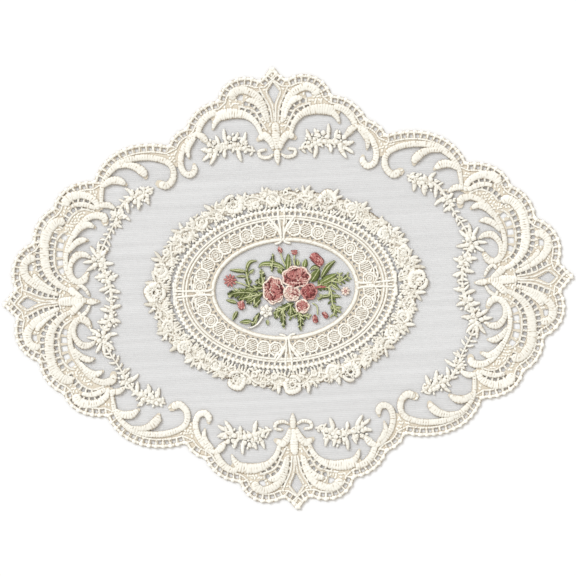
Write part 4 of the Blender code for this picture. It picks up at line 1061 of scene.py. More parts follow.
class ThreadWrap(Grower):
    """Geometry Nodes that wrap thread round routes, with ridges across each stroke."""

    NAME = "thread_wrap"
    INPUTS = {"Routes": "Geometry", "Samples": "Int", "Sides": "Int", "Skirt": "Float", "Wobble": "Float",
              "Unevenness": "Float", "Crumple": "Float", "Flatness": "Float", "Seed": "Float",
              "Thread": "Material"}
    SIZES = {"Samples": 3, "Wobble": 0.14, "Unevenness": 0.42, "Crumple": 1.7 * MM, "Flatness": 0.55,
             "Seed": float(SEED)}
    COLUMNS = ("width", "edge", "crown", "shade", "pitch", "depth", "slant", "closed")

    def _wire(self) -> NodeSocket:
        """Lay out the tree: the route, the section, then the ridges."""
        return self._raise(self._sweep())

    def _sweep(self) -> NodeSocket:
        """Sweep a flat section along the routes, wide and narrow by stitch and end.

        Returns:
            The swept mesh, with what the ridges need kept on its points.
        """
        wiring = self.wiring
        calc = wiring.calc
        given = self.given
        curve = wiring.add("GeometryNodeMeshToCurve", {"Mesh": given["Routes"]}).outputs[0]
        step = calc("DIVIDE", wiring.read("pitch"), given["Samples"])
        curve = wiring.add("GeometryNodeResampleCurve", {"Curve": curve, "Length": step},
                           mode="LENGTH").outputs[0]
        curve = wiring.add("GeometryNodeSetCurveNormal", {"Curve": curve}, mode="Z_UP").outputs[0]
        along = wiring.add("GeometryNodeSplineParameter").outputs
        total = wiring.add("GeometryNodeSplineLength").outputs["Length"]
        half = calc("MULTIPLY", wiring.read("width"), 0.5)
        nearest = calc("MINIMUM", along["Length"], calc("SUBTRACT", total, along["Length"]))
        share = calc("MINIMUM", calc("DIVIDE", nearest, half), 1.0)
        rounded = calc("SQRT", calc("MULTIPLY", share, calc("SUBTRACT", 2.0, share)))
        end = calc("MAXIMUM", calc("MAXIMUM", rounded, wiring.read("closed")), 0.12)
        phase = calc("DIVIDE", along["Index"], given["Samples"])
        ridge = calc("ABSOLUTE", calc("SINE", calc("MULTIPLY", phase, math.pi)))
        uneven = calc("MULTIPLY", wiring.noise(given["Seed"], 330.0, 3.0), given["Unevenness"])
        wobble = calc("MULTIPLY", calc("SUBTRACT", ridge, 0.6), given["Wobble"])
        swell = calc("ADD", 1.0, calc("ADD", uneven, wobble))
        curve = wiring.keep(wiring.keep(curve, "phase", phase), "end", end)
        feeds = {"Curve": curve, "Profile Curve": self._section(), "Fill Caps": True,
                 "Scale": calc("MULTIPLY", calc("MULTIPLY", half, end), swell)}
        return wiring.add("GeometryNodeCurveToMesh", feeds).outputs[0]

    def _section(self) -> NodeSocket:
        """Press a round section flat.

        Returns:
            The section, with its round shape kept as attributes.
        """
        wiring = self.wiring
        feeds = {"Resolution": self.given["Sides"], "Radius": 1.0}
        ring = wiring.add("GeometryNodeCurvePrimitiveCircle", feeds).outputs["Curve"]
        across, up, _ = wiring.spot()
        ring = wiring.keep(wiring.keep(ring, "across", across), "up", up)
        return wiring.moved(ring, Position=wiring.vector(X=wiring.read("across")))

    def _raise(self, swept: NodeSocket) -> NodeSocket:
        """Raise the swept mesh to its crown, with a ridge for each stitch.

        Args:
            swept: The flat mesh.

        Returns:
            The raised mesh, with its painted shade, kept as relief, and its map stored.
        """
        wiring = self.wiring
        calc = wiring.calc
        given = self.given
        phase = wiring.read("phase")
        across = wiring.read("across")
        up = wiring.read("up")
        lean = calc("MULTIPLY", calc("ABSOLUTE", across), wiring.read("slant"))
        turn = calc("MULTIPLY", calc("ADD", phase, lean), math.pi)
        ridge = calc("POWER", calc("ABSOLUTE", calc("SINE", turn)), 0.7)
        above = calc("POWER", calc("MAXIMUM", up, 0.0), given["Flatness"])
        lump = wiring.noise(given["Seed"], 720.0, 2.0)
        patch = wiring.noise(given["Seed"], 140.0, 2.0)
        gain = calc("MAXIMUM", calc("MULTIPLY_ADD", patch, 5.0, 0.9), 0.3)
        ridge = calc("MULTIPLY", calc("SUBTRACT", ridge, 0.5), gain)
        below = calc("MULTIPLY", calc("MINIMUM", up, 0.0), given["Skirt"])
        crown = calc("MULTIPLY", wiring.read("crown"), wiring.read("end"))
        relief = calc("ADD", calc("MULTIPLY", ridge, wiring.read("depth")),
                      calc("MULTIPLY", lump, given["Crumple"]))
        rise = calc("MULTIPLY", above, calc("ADD", crown, relief))
        height = calc("ADD", wiring.read("edge"), calc("ADD", rise, below))
        # Painted shade: the lightness kept as relief is lowest in the troughs between ridges and on the sides
        # below the crown, and varies with the lumps.
        lit = calc("MULTIPLY", above, calc("ADD", calc("MULTIPLY_ADD", ridge, 0.55, 0.56),
                                           calc("MULTIPLY", lump, 2.2)))
        mesh = wiring.keep(wiring.moved(swept, Offset=wiring.vector(Z=height)), "relief", lit)
        return wiring.keep(mesh, "stitch_map", wiring.vector(X=phase, Y=across), "FLOAT2", "CORNER")

    def wrap(self, name: str, strokes: Iterable[Stroke], thread: Material, sides: int,
             skirt: float = SKIRT) -> Object:
        """Wrap thread round strokes, as one plain mesh.

        Args:
            name: The piece's name.
            strokes: The strokes to sew.
            thread: The material of the thread.
            sides: How many sides the section has.
            skirt: How far the strokes' sides reach down from their edges.

        Returns:
            The piece, with its place in its mesh.
        """
        points = []
        edges = []
        rows = []
        for stroke in strokes:
            start = len(points)
            pitch, depth, slant = stroke.stitch.value
            for x, y, width in stroke.route:
                points.append((x, y, 0.0))
                rows.append((width * MM, stroke.edge * MM, stroke.crown * MM, stroke.shade, pitch * MM,
                             depth * MM, slant, float(stroke.closed)))
            edges.extend((index, index + 1) for index in range(start, len(points) - 1))
            if stroke.closed:
                edges.append((len(points) - 1, start))
        mesh = marked_mesh(name + "_routes", points, edges, self.COLUMNS, rows)
        return self.grow(name, mesh, {**self.SIZES, "Sides": sides, "Skirt": skirt * MM, "Thread": thread})


class BeadSpread(Grower):
    """Geometry Nodes that set a small rounded knot at each mark."""

    NAME = "bead_spread"
    INPUTS = {"Marks": "Geometry", "Segments": "Int", "Rings": "Int", "Thread": "Material"}
    SIZES = {"Segments": 8, "Rings": 5}
    COLUMNS = ("length", "width", "height", "turn", "shade")
    HEIGHT_SHARE = 0.4
    HEIGHT_MOST = 0.8  # mm

    def _wire(self) -> NodeSocket:
        """Lay out the tree: a ball, pressed to each mark's sizes and turned.

        Returns:
            The knots.
        """
        wiring = self.wiring
        feeds = {"Segments": self.given["Segments"], "Rings": self.given["Rings"], "Radius": 1.0}
        ball = wiring.add("GeometryNodeMeshUVSphere", feeds).outputs["Mesh"]
        # Painted shade: each knot is darker towards its underside, kept as relief.
        ball = wiring.keep(ball, "relief", wiring.calc("MULTIPLY_ADD", wiring.spot()[2], 0.7, 0.3))
        size = wiring.vector(X=wiring.read("length"), Y=wiring.read("width"), Z=wiring.read("height"))
        feeds = {"Points": self.given["Marks"], "Instance": ball, "Scale": size,
                 "Rotation": wiring.vector(Z=wiring.read("turn"))}
        return wiring.add("GeometryNodeInstanceOnPoints", feeds).outputs[0]

    def strew(self, name: str, beads: Sequence[Bead], thread: Material) -> Object:
        """Set a knot at each mark.

        Args:
            name: The piece's name.
            beads: The knots to set.
            thread: The material of the thread.

        Returns:
            The piece, with its place in its mesh.
        """
        rows = [(bead.length * MM / 2, bead.width * MM / 2,
                 min(bead.width * self.HEIGHT_SHARE, self.HEIGHT_MOST) * MM, bead.turn, bead.shade)
                for bead in beads]
        mesh = marked_mesh(name + "_marks", [bead[:3] for bead in beads], [], self.COLUMNS, rows)
        return self.grow(name, mesh, {**self.SIZES, "Thread": thread})


def turn_of(cycle: Sequence[Point]) -> float:
    """Return twice an outline's area, positive where it runs anticlockwise."""
    return sum(a[0] * b[1] - b[0] * a[1] for a, b in zip(cycle, [*cycle[1:], cycle[0]]))


@dataclass(frozen=True)
class FlatCloth:
    """A flat cloth with the outline of a solid's underside. Heights are in mm."""

    name: str
    node: str
    low: float
    top: float
    material: Material

    def cut(self, holes: Sequence[Sequence[Point]] = ()) -> Object:
        """Cut the cloth, less some holes.

        Args:
            holes: The outlines of the holes.

        Returns:
            The piece.
        """
        points, faces = self._outline()
        solids = len(faces)
        for hole in holes:
            faces.append(list(range(len(points), len(points) + len(hole))))
            points += [(x - SHIFT_X, y - SHIFT_Y) for x, y in hole]
        faces = [face if turn_of([points[index] for index in face]) > 0 else face[::-1] for face in faces]
        corners, _, triangles, _, _, owners = delaunay_2d_cdt(points, [], faces, 0, 0.0001)
        kept = [face for face, inside in zip(triangles, owners)
                if inside and all(index < solids for index in inside)]
        return stand(self.name, self._thicken(corners, kept))

    def _outline(self) -> tuple[list[Point], list[list[int]]]:
        """Read the underside of the solid.

        Returns:
            Its points in mm and its faces, anticlockwise.
        """
        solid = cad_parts[self.node].data
        floor = min(vertex.co.z for vertex in solid.vertices) + MM * MM
        known: dict[tuple[int, int], int] = {}
        points: list[Point] = []
        faces = []
        for polygon in solid.polygons:
            corners = [solid.vertices[index].co for index in polygon.vertices]
            if max(corner.z for corner in corners) > floor:
                continue
            cycle = []
            for corner in corners:
                key = (round(corner.x / MM * 1000), round(corner.y / MM * 1000))
                if key not in known:
                    known[key] = len(points)
                    points.append((corner.x / MM, corner.y / MM))
                cycle.append(known[key])
            faces.append(cycle[::-1])
        return points, faces

    def _thicken(self, corners: Sequence[Point], faces: Sequence[Sequence[int]]) -> Mesh:
        """Give flat faces the cloth's thickness, with walls at their open sides.

        Args:
            corners: The corners of the faces.
            faces: The faces, anticlockwise.

        Returns:
            The closed mesh.
        """
        used = sorted({index for face in faces for index in face})
        number = {index: count for count, index in enumerate(used)}
        upper = [(corners[index][0] * MM, corners[index][1] * MM, self.top * MM) for index in used]
        lower = [(x, y, self.low * MM) for x, y, _ in upper]
        count = len(used)
        solid = []
        sides = set()
        for face in faces:
            cycle = [number[index] for index in face]
            solid += [cycle, [index + count for index in reversed(cycle)]]
            sides.update(zip(cycle, cycle[1:] + cycle[:1]))
        solid += [[a, a + count, b + count, b] for a, b in sorted(sides) if (b, a) not in sides]
        mesh = bpy.data.meshes.new(self.name)
        mesh.from_pydata(upper + lower, [], solid)
        mesh.materials.append(self.material)
        return mesh


# Finishes.

WHITE = (255, 255, 255)
WAVE_PITCH = 0.314  # a wave's scale times its pitch in metres


def new_finish(name: str) -> tuple[Material, Wiring, Node]:
    """Make a new node material.

    Args:
        name: The material's name.

    Returns:
        The material, its wiring and its shader.
    """
    material = bpy.data.materials.new(name)
    material.use_nodes = True
    return material, Wiring(material.node_tree), material.node_tree.nodes["Principled BSDF"]


@dataclass(frozen=True)
class ThreadFinish:
    """Embroidery thread with a range of shades, with painted shade between its ridges and on its lower sides.
    """

    name: str
    shades: tuple[tuple[float, Colour], ...]
    # the colour of the painted shade, multiplied in where the relief is low
    painted_shade_colour: Colour
    roughness: float = 0.7
    sheen: float = 0.15
    drift: float = 0.4

    def material(self) -> Material:
        """Build the thread's material.

        Returns:
            The material, which reads the strokes' shade, their painted shade kept as relief, and their map.
        """
        material, wiring, shader = new_finish(self.name)
        shade = wiring.add("ShaderNodeAttribute", attribute_name="shade").outputs["Fac"]
        relief = wiring.add("ShaderNodeAttribute", attribute_name="relief").outputs["Fac"]
        feeds = {"Vector": wiring.place(), "Scale": 620.0, "Detail": 3.0}
        patches = wiring.add("ShaderNodeTexNoise", feeds).outputs[0]
        drift = wiring.calc("MULTIPLY_ADD", patches, self.drift, -self.drift / 2)
        colour = wiring.ramp(wiring.calc("ADD", shade, drift), self.shades)
        # Painted shade: where the relief is low, the thread's colour is multiplied by a darker one.
        depth = wiring.ramp(relief, ((0.02, self.painted_shade_colour), (0.5, WHITE)))
        colour_and_painted_shade = wiring.add("ShaderNodeMix", {0: 1.0, 6: colour, 7: depth}, data_type="RGBA",
                          blend_type="MULTIPLY")
        wiring.feed(shader, {"Base Color": colour_and_painted_shade.outputs[2], "Normal": self._strands(wiring),
                             "Roughness": self.roughness, "Sheen Weight": self.sheen,
                             "Specular IOR Level": 0.3})
        return material

    @staticmethod
    def _strands(wiring: Wiring) -> NodeSocket:
        """Lay fine strands across each stroke.

        Args:
            wiring: The material's wiring.

        Returns:
            Their normal.
        """
        chart = wiring.add("ShaderNodeUVMap", uv_map="stitch_map").outputs[0]
        feeds = {"Vector": chart, "Scale": 1.2566, "Distortion": 1.5, "Detail": 1.0, "Detail Scale": 1.5}
        wave = wiring.add("ShaderNodeTexWave", feeds).outputs["Fac"]
        feeds = {"Strength": 0.5, "Distance": 0.00012, "Height": wave}
        return wiring.add("ShaderNodeBump", feeds).outputs[0]


@dataclass(frozen=True)
class WebFinish:
    """The lace ground between strokes: thread laid to and fro, close and rough, with painted shade in the
    gaps between the threads.
    """

    name: str
    light: Colour
    # the painted shade in the gaps between the threads
    painted_gap_shade: Colour
    thread: float = 0.9  # mm

    def material(self) -> Material:
        """Build the web's material from two crossing waves of thread, darker in the gaps between them as
        painted shade.

        Returns:
            The material.
        """
        material, wiring, shader = new_finish(self.name)
        feeds = {"Vector": wiring.place(), "Scale": WAVE_PITCH / (self.thread * MM), "Distortion": 2.2,
                 "Detail Scale": 1.2}
        heights = [wiring.add("ShaderNodeTexWave", feeds, bands_direction=direction).outputs["Fac"]
                   for direction in ("X", "Y")]
        woven = wiring.calc("MULTIPLY", *heights)
        feeds = {"Strength": 0.7, "Distance": 0.0003, "Height": woven}
        wiring.feed(shader, {"Base Color": wiring.ramp(woven, ((0.0, self.painted_gap_shade), (0.7, self.light))),
                             "Normal": wiring.add("ShaderNodeBump", feeds).outputs[0],
                             "Roughness": 0.75, "Sheen Weight": 0.15})
        return material


@dataclass(frozen=True)
class OrganzaFinish:
    """Sheer cloth with fine ribs along its length."""

    name: str
    colour: Colour
    open_share: float
    rib: float  # mm
    contrast: float = 0.1

    def material(self) -> Material:
        """Build the sheer material, whose ribs let less light through.

        Returns:
            The material.
        """
        material, wiring, shader = new_finish(self.name)
        spot = wiring.place()
        feeds = {"Vector": spot, "Scale": WAVE_PITCH / (self.rib * MM), "Distortion": 1.2, "Detail": 2.0,
                 "Detail Scale": 0.6}
        rib = wiring.add("ShaderNodeTexWave", feeds, bands_direction="Y").outputs["Fac"]
        drawn = wiring.add("ShaderNodeMapping", {"Vector": spot, "Scale": (5.0, 260.0, 1.0)}).outputs[0]
        feeds = {"Vector": drawn, "Scale": 1.0, "Detail": 3.0}
        streak = wiring.add("ShaderNodeTexNoise", feeds).outputs[0]
        mixed = wiring.calc("MULTIPLY_ADD", rib, 0.3, streak)
        cover = wiring.calc("MULTIPLY_ADD", mixed, self.contrast, 1 - self.open_share - self.contrast)
        bump = wiring.add("ShaderNodeBump", {"Strength": 0.15, "Distance": 0.0001, "Height": rib})
        wiring.feed(shader, {"Base Color": linear(self.colour), "Alpha": cover, "Normal": bump.outputs[0],
                             "Roughness": 0.6, "Specular IOR Level": 0.2})
        return material


# Each thread's last colour is its painted shade in the hollows between ridges.
ECRU = ThreadFinish("ecru_thread", ((0.0, (218, 212, 197)), (1.0, (248, 246, 237)),
                                    (0.5, (235, 231, 220))), (178, 156, 126))
ROSE = ThreadFinish("rose_thread", ((0.0, (98, 38, 36)), (1.0, (248, 236, 220)), (0.25, (174, 92, 90)),
                                    (0.5, (204, 144, 136)), (0.75, (228, 188, 176))), (160, 104, 96),
                    drift=0.25)
LEAF = ThreadFinish("leaf_thread", ((0.0, (54, 60, 22)), (1.0, (212, 214, 168)),
                                    (0.5, (122, 134, 70))), (112, 106, 68), drift=0.3)
# The web's second colour is painted shade between its threads.
WEB = WebFinish("lace_web", (242, 235, 222), (208, 196, 174))
ORGANZA = OrganzaFinish("organza_cloth", (210, 209, 208), 0.69, 1.3, 0.22)


# The doily's parts.


@dataclass
class Bench:
    """What every part is sewn with: the tools, the materials and the chance."""

    wrap: ThreadWrap
    spread: BeadSpread
    ecru: Material
    rose: Material
    leaf: Material
    web: Material
    organza: Material
    chance: Random

    def finish(self, piece: Object, slot: str, *nodes: str) -> Object:
        """Fasten a piece to the part's body, and hide the solids that it stands for.

        Args:
            piece: The finished piece.
            slot: The record's material slot. Not used.
            nodes: The solids it stands for, if any.

        Returns:
            The same piece.
        """
        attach(piece, "root")
        if nodes:
            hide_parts(*nodes)
        LOG.info("%s: %d faces", piece.name, len(piece.data.polygons))
        return piece

    def sewn(self, name: str, strokes: Iterable[Stroke], *nodes: str, sides: int = 7,
             skirt: float = SKIRT) -> Object:
        """Wrap ecru strokes as one finished piece.

        Args:
            name: The piece's name.
            strokes: Its strokes.
            nodes: The solids it stands for, if any.
            sides: How many sides each stroke's section has.
            skirt: How far the strokes' sides reach down.

        Returns:
            The piece.
        """
        return self.finish(self.wrap.wrap(name, strokes, self.ecru, sides, skirt), "ecru", *nodes)

    def strewn(self, name: str, beads: Sequence[Bead]) -> Object:
        """Set ecru knots as one finished piece."""
        return self.finish(self.spread.strew(name, beads, self.ecru), "ecru")


@dataclass
class Part:
    """A part of the doily, which is sewn at a bench."""

    bench: Bench

    @property
    def chance(self) -> Random:
        """Return the source of small differences."""
        return self.bench.chance


@dataclass
class OrganzaGround(Part):
    """The sheer cloth under the lace."""

    low: float = CLOTH_LOW
    top: float = CLOTH_TOP

    def build(self) -> Object:
        """Cut the cloth, and return it."""
        cloth = FlatCloth("organza_cloth", "organza_ground", self.low, self.top, self.bench.organza)
        return self.bench.finish(cloth.cut(), "organza", "organza_ground")


@dataclass
class LaceBorder(Part):
    """The scalloped border: its pierced edge, its scrolls and the ladders between."""

    cords: tuple[Point, ...] = ((1.3, 2.4), (5.9, 1.7))  # inset and width
    edge_skirt: float = 1.0
    bar: tuple[Point, ...] = ((-2.2, 1.3), (0, 1.4), (1.8, 1.9), (3.2, 2.5))  # reach and width
    bar_clear: float = 1.5
    bar_lean: float = 0.2  # radians
    bar_thickness: Span = (0.95, 1.5)
    picot_reach: float = 2.9
    picot_size: Span = (3.3, 2.6)
    satin_sides: int = 12
    satin_skirt: float = 0.9
    rung_pitch: float = 4.3
    rung_width: float = 1.5
    rung_reach: float = 2.2
    rung_hole: Span = (3.2, 2.8)
    cell_clear: float = 3.4
    seed_pitch: float = 2.1
    seed_size: Span = (2.7, 1.6)

    def build(self) -> list[Object]:
        """Sew the border.

        Returns:
            Its web, its edging, its strokes in four quarters, its seed stitches and its picots.
        """
        bench = self.bench
        cloth = FlatCloth("border_web", "lace_border", WEB_LOW, WEB_TOP, bench.web)
        web = bench.finish(cloth.cut(self._rung_holes()), "ecru", "lace_border")
        edging = [*self._cords(), *self._bars()]
        pieces = [web, bench.sewn("border_edging", edging, sides=6, skirt=self.edge_skirt)]
        for quarter in QUARTERS:
            table = STROKES | (END_STROKES if quarter in EAST else {})
            table |= SIDE_STROKES if quarter in NORTH else {}
            strokes = [*sew_table(table, quarter, self.chance), *self._rungs(quarter)]
            pieces.append(bench.sewn("border_satin_" + quarter.name, strokes, sides=self.satin_sides,
                                     skirt=self.satin_skirt))
        pieces.append(bench.strewn("border_seeds", self._seeds(web)))
        pieces.append(bench.strewn("border_picots", self._picots()))
        return pieces

    def _cords(self) -> Iterator[Stroke]:
        """Sew the cords on both sides of the pierced row.

        Returns:
            The strokes.
        """
        for inset, width in self.cords:
            chain = [point for arc in scallop_arcs(inset) for point in arc]
            for quarter in QUARTERS:
                route = [(*place(point, quarter), width) for point in chain]
                yield sew(route, 0.75, stitch=Stitch.CORD)

    def _bar_marks(self) -> list[Mark]:
        """Place the bars all round the edge.

        Returns:
            Each bar's place, once, with the outward direction.
        """
        kept: list[Mark] = []
        for quarter in QUARTERS:
            side = math.copysign(math.pi / 2, quarter.side * quarter.end)
            for arc in scallop_arcs(PURL_INSET):
                for spot, turn in marks_along([place(point, quarter) for point in arc], PURL_PITCH):
                    if all(math.dist(spot, other) > self.bar_clear for other, _ in kept):
                        kept.append((spot, turn + side))
        return kept

    def _bars(self) -> Iterator[Stroke]:
        """Sew the bars between the pierced holes, which end in picots.

        Returns:
            The strokes.
        """
        for spot, outward in self._bar_marks():
            lean = outward + self.chance.uniform(-self.bar_lean, self.bar_lean)
            thick = self.chance.uniform(*self.bar_thickness)
            route = [(*ray(lean, reach, spot), width * thick) for reach, width in self.bar]
            yield sew(smooth(route, 3), self.chance.uniform(0.4, 0.9), STITCH_EDGE, Stitch.CORD,
                      crown=2 * LAYER)

    def _picots(self) -> list[Bead]:
        """Return the small knobs along the outer cord, one where each bar meets it."""
        return [Bead(*ray(outward, self.picot_reach, spot), STITCH_EDGE + LAYER, *self.picot_size,
                     outward + math.pi / 2, self.chance.uniform(0.6, 1.0))
                for spot, outward in self._bar_marks()]

    def _rung_marks(self, quarter: Quarter, offset: float) -> list[Mark]:
        """Space marks along the furrows of a quarter, clear of its open cells.

        Args:
            quarter: The quarter.
            offset: Where the first mark of a furrow is, as a share of the pitch.

        Returns:
            The marks.
        """
        cells = [place(cell, quarter) for cell in CELLS]
        lines = [[place(point, quarter) for point in smooth(furrow)] for furrow in FURROWS.values()]
        return [mark for line in lines for mark in marks_along(line, self.rung_pitch, offset)
                if min(math.dist(mark[0], cell) for cell in cells) > self.cell_clear]

    def _rung_holes(self) -> list[list[Point]]:
        """Return the outlines of the small holes between the rungs."""
        return [block(spot, *self.rung_hole, turn) for quarter in QUARTERS
                for spot, turn in self._rung_marks(quarter, 0.5)]

    def _rungs(self, quarter: Quarter) -> Iterator[Stroke]:
        """Sew the rungs that cross the furrows of a quarter."""
        for spot, turn in self._rung_marks(quarter, 0.0):
            route = straight(spot, turn + math.pi / 2, self.rung_reach, self.rung_width)
            yield sew(route, self.chance.uniform(0.5, 0.8), WEB_TOP, Stitch.CORD)

    def _seeds(self, web: Object) -> list[Bead]:
        """Set seed stitches wherever the web lies open to the sky.

        Args:
            web: The border's web.

        Returns:
            The seeds, in rows that are uneven in place and direction.
        """
        bpy.context.view_layer.update()
        graph = bpy.context.evaluated_depsgraph_get()
        uniform = self.chance.uniform
        rows = math.ceil(NORTH_REACH / self.seed_pitch)
        columns = math.ceil(EAST_REACH / self.seed_pitch)
        seeds = []
        for row in range(-rows, rows):
            for column in range(-columns, columns):
                x = (column + row % 2 / 2 + uniform(-0.2, 0.2)) * self.seed_pitch
                y = (row + uniform(-0.2, 0.2)) * self.seed_pitch
                if self._lies_open(x, y, web, graph):
                    seeds.append(Bead(x, y, WEB_TOP + 0.1, *self.seed_size, uniform(0, math.pi),
                                      uniform(0.4, 0.9)))
        return seeds

    @staticmethod
    def _lies_open(x: float, y: float, web: Object, graph: bpy.types.Depsgraph) -> bool:
        """Look down on the web at a place and just round it.

        Args:
            x: The place towards the east.
            y: The place towards the north.
            web: The web.
            graph: The scene as it stands.

        Returns:
            Whether nothing lies over the web there.
        """
        for step_x, step_y in ((0, 0), (0.7, 0), (-0.7, 0), (0, 0.7), (0, -0.7)):
            above = ((x + step_x - SHIFT_X) * MM, (y + step_y - SHIFT_Y) * MM, 0.02)
            found, _, _, _, piece, _ = bpy.context.scene.ray_cast(graph, above, (0, 0, -1))
            if not found or piece.name != web.name:
                return False
        return True


@dataclass
class Motifs(Part):
    """The four corner sprays and the two side garlands."""

    stem_share: float = 0.75
    stem_edge: float = CLOTH_TOP + 0.35
    leaf_edge: float = CLOTH_TOP + 0.5
    flower_share: float = 1.15
    flower_edge: float = CLOTH_TOP + 0.9
    leaflets: Leaflets = Leaflets(4.2, 2.1, (0.6, 1.3), (0.6, 1.1), (0.5, 0.9), CLOTH_TOP + 0.4, LAYER)
    leaflet_reach: float = 5.4
    berries: int = 8
    berry_size: Span = (2.6, 1.7)
    berry_edge: float = CLOTH_TOP + 0.7

    def build(self) -> list[Object]:
        """Sew the motifs.

        Returns:
            The sprays and garlands, each as a piece of its own, and their berries.
        """
        rows = [("spray_" + quarter.name, SPRAY, (quarter,)) for quarter in QUARTERS]
        rows += [("garland_east", GARLAND, EAST), ("garland_west", GARLAND, WEST)]
        pieces = []
        berries: list[Bead] = []
        for name, motif, quarters in rows:
            strokes = [stroke for quarter in quarters for stroke in self._strokes(motif, quarter)]
            berries += [bead for quarter in quarters for bead in self._berries(motif, quarter)]
            pieces.append(self.bench.sewn(name + "_satin", strokes, name))
        return [*pieces, self.bench.strewn("motif_berries", berries)]

    def _strokes(self, motif: Motif, quarter: Quarter) -> Iterator[Stroke]:
        """Sew a motif's stem, leaves and flowers in a quarter.

        Args:
            motif: The motif.
            quarter: The quarter to sew it in.

        Returns:
            The strokes.
        """
        chance = self.chance
        stem = [(*place(point, quarter), point[2] * self.stem_share) for point in smooth(motif.stem)]
        yield sew(stem, 0.55, self.stem_edge)
        yield from self.leaflets.sew(stem, self.leaflet_reach, chance)
        for index, leaf in enumerate(motif.leaves):
            yield leaf_stroke(leaf, chance.uniform(0.5, 0.9), self.leaf_edge + LAYER * (index % 2), quarter)
        for flower in motif.flowers:
            patch = round_patch(place(flower, quarter), flower[2] * self.flower_share, self.flower_edge)
            yield from patch.daisy(chance.uniform(0, math.tau), 0.75)

    def _berries(self, motif: Motif, quarter: Quarter) -> Iterator[Bead]:
        """Scatter small knots round each flower of a motif.

        Args:
            motif: The motif.
            quarter: The quarter that it is in.

        Returns:
            The knots.
        """
        chance = self.chance
        for flower in motif.flowers:
            for index in range(self.berries):
                turn = math.tau * (index + chance.random()) / self.berries
                spot = ray(turn, flower[2] * chance.uniform(1.0, 1.45), place(flower, quarter))
                yield Bead(*spot, self.berry_edge, *self.berry_size, turn, chance.uniform(0.5, 0.9))


class PiercedRow(NamedTuple):
    """A row of holes round the ring: its half widths, its pitch and its holes' two sizes."""

    half: Point
    pitch: float
    across: float
    along: float
    barred: bool  # whether bars are sewn between its holes


class Filling(Enum):
    """How a rosette is filled: with rings, or with stitches that lean, in radians."""

    RINGS = None
    RISING = 0.35
    FALLING = -0.25


# Cords that part the ring at its ends and its sides, from its centre, each in all four quarters.
DIVIDES = {
    "spear": ((0.9, 34, 1.6), (1.1, 42, 1.7), (2.2, 50, 1.8), (2, 57.5, 1.5)),
    "leaf": ((0.8, 37, 1.6), (3.4, 43, 2.6), (7.4, 48.4, 2.2), (9.4, 50.6, 1.4)),
    "vein": ((3, 40, 1.1), (7.4, 45, 1.5), (10.2, 49.6, 1.1)),
    "hook": ((0.9, 36.5, 1.6), (1.8, 32.8, 1.8), (5.8, 31.6, 1.8)),
    "bar": ((49.6, 3.4, 1.4), (52.4, 1.7, 2.1), (60, 1.4, 1.8), (77, 2.2, 1.8)),
    "stop": ((77.6, 0.6, 1.9), (77.8, 8.5, 1.9)),
    "shell": ((64.6, 3, 1.5), (65.4, 7.6, 1.5), (64, 12.4, 1.3)),
    "twin": ((62.4, 3, 1.3), (62.8, 7.6, 1.5), (62.6, 12, 1.3)),
}


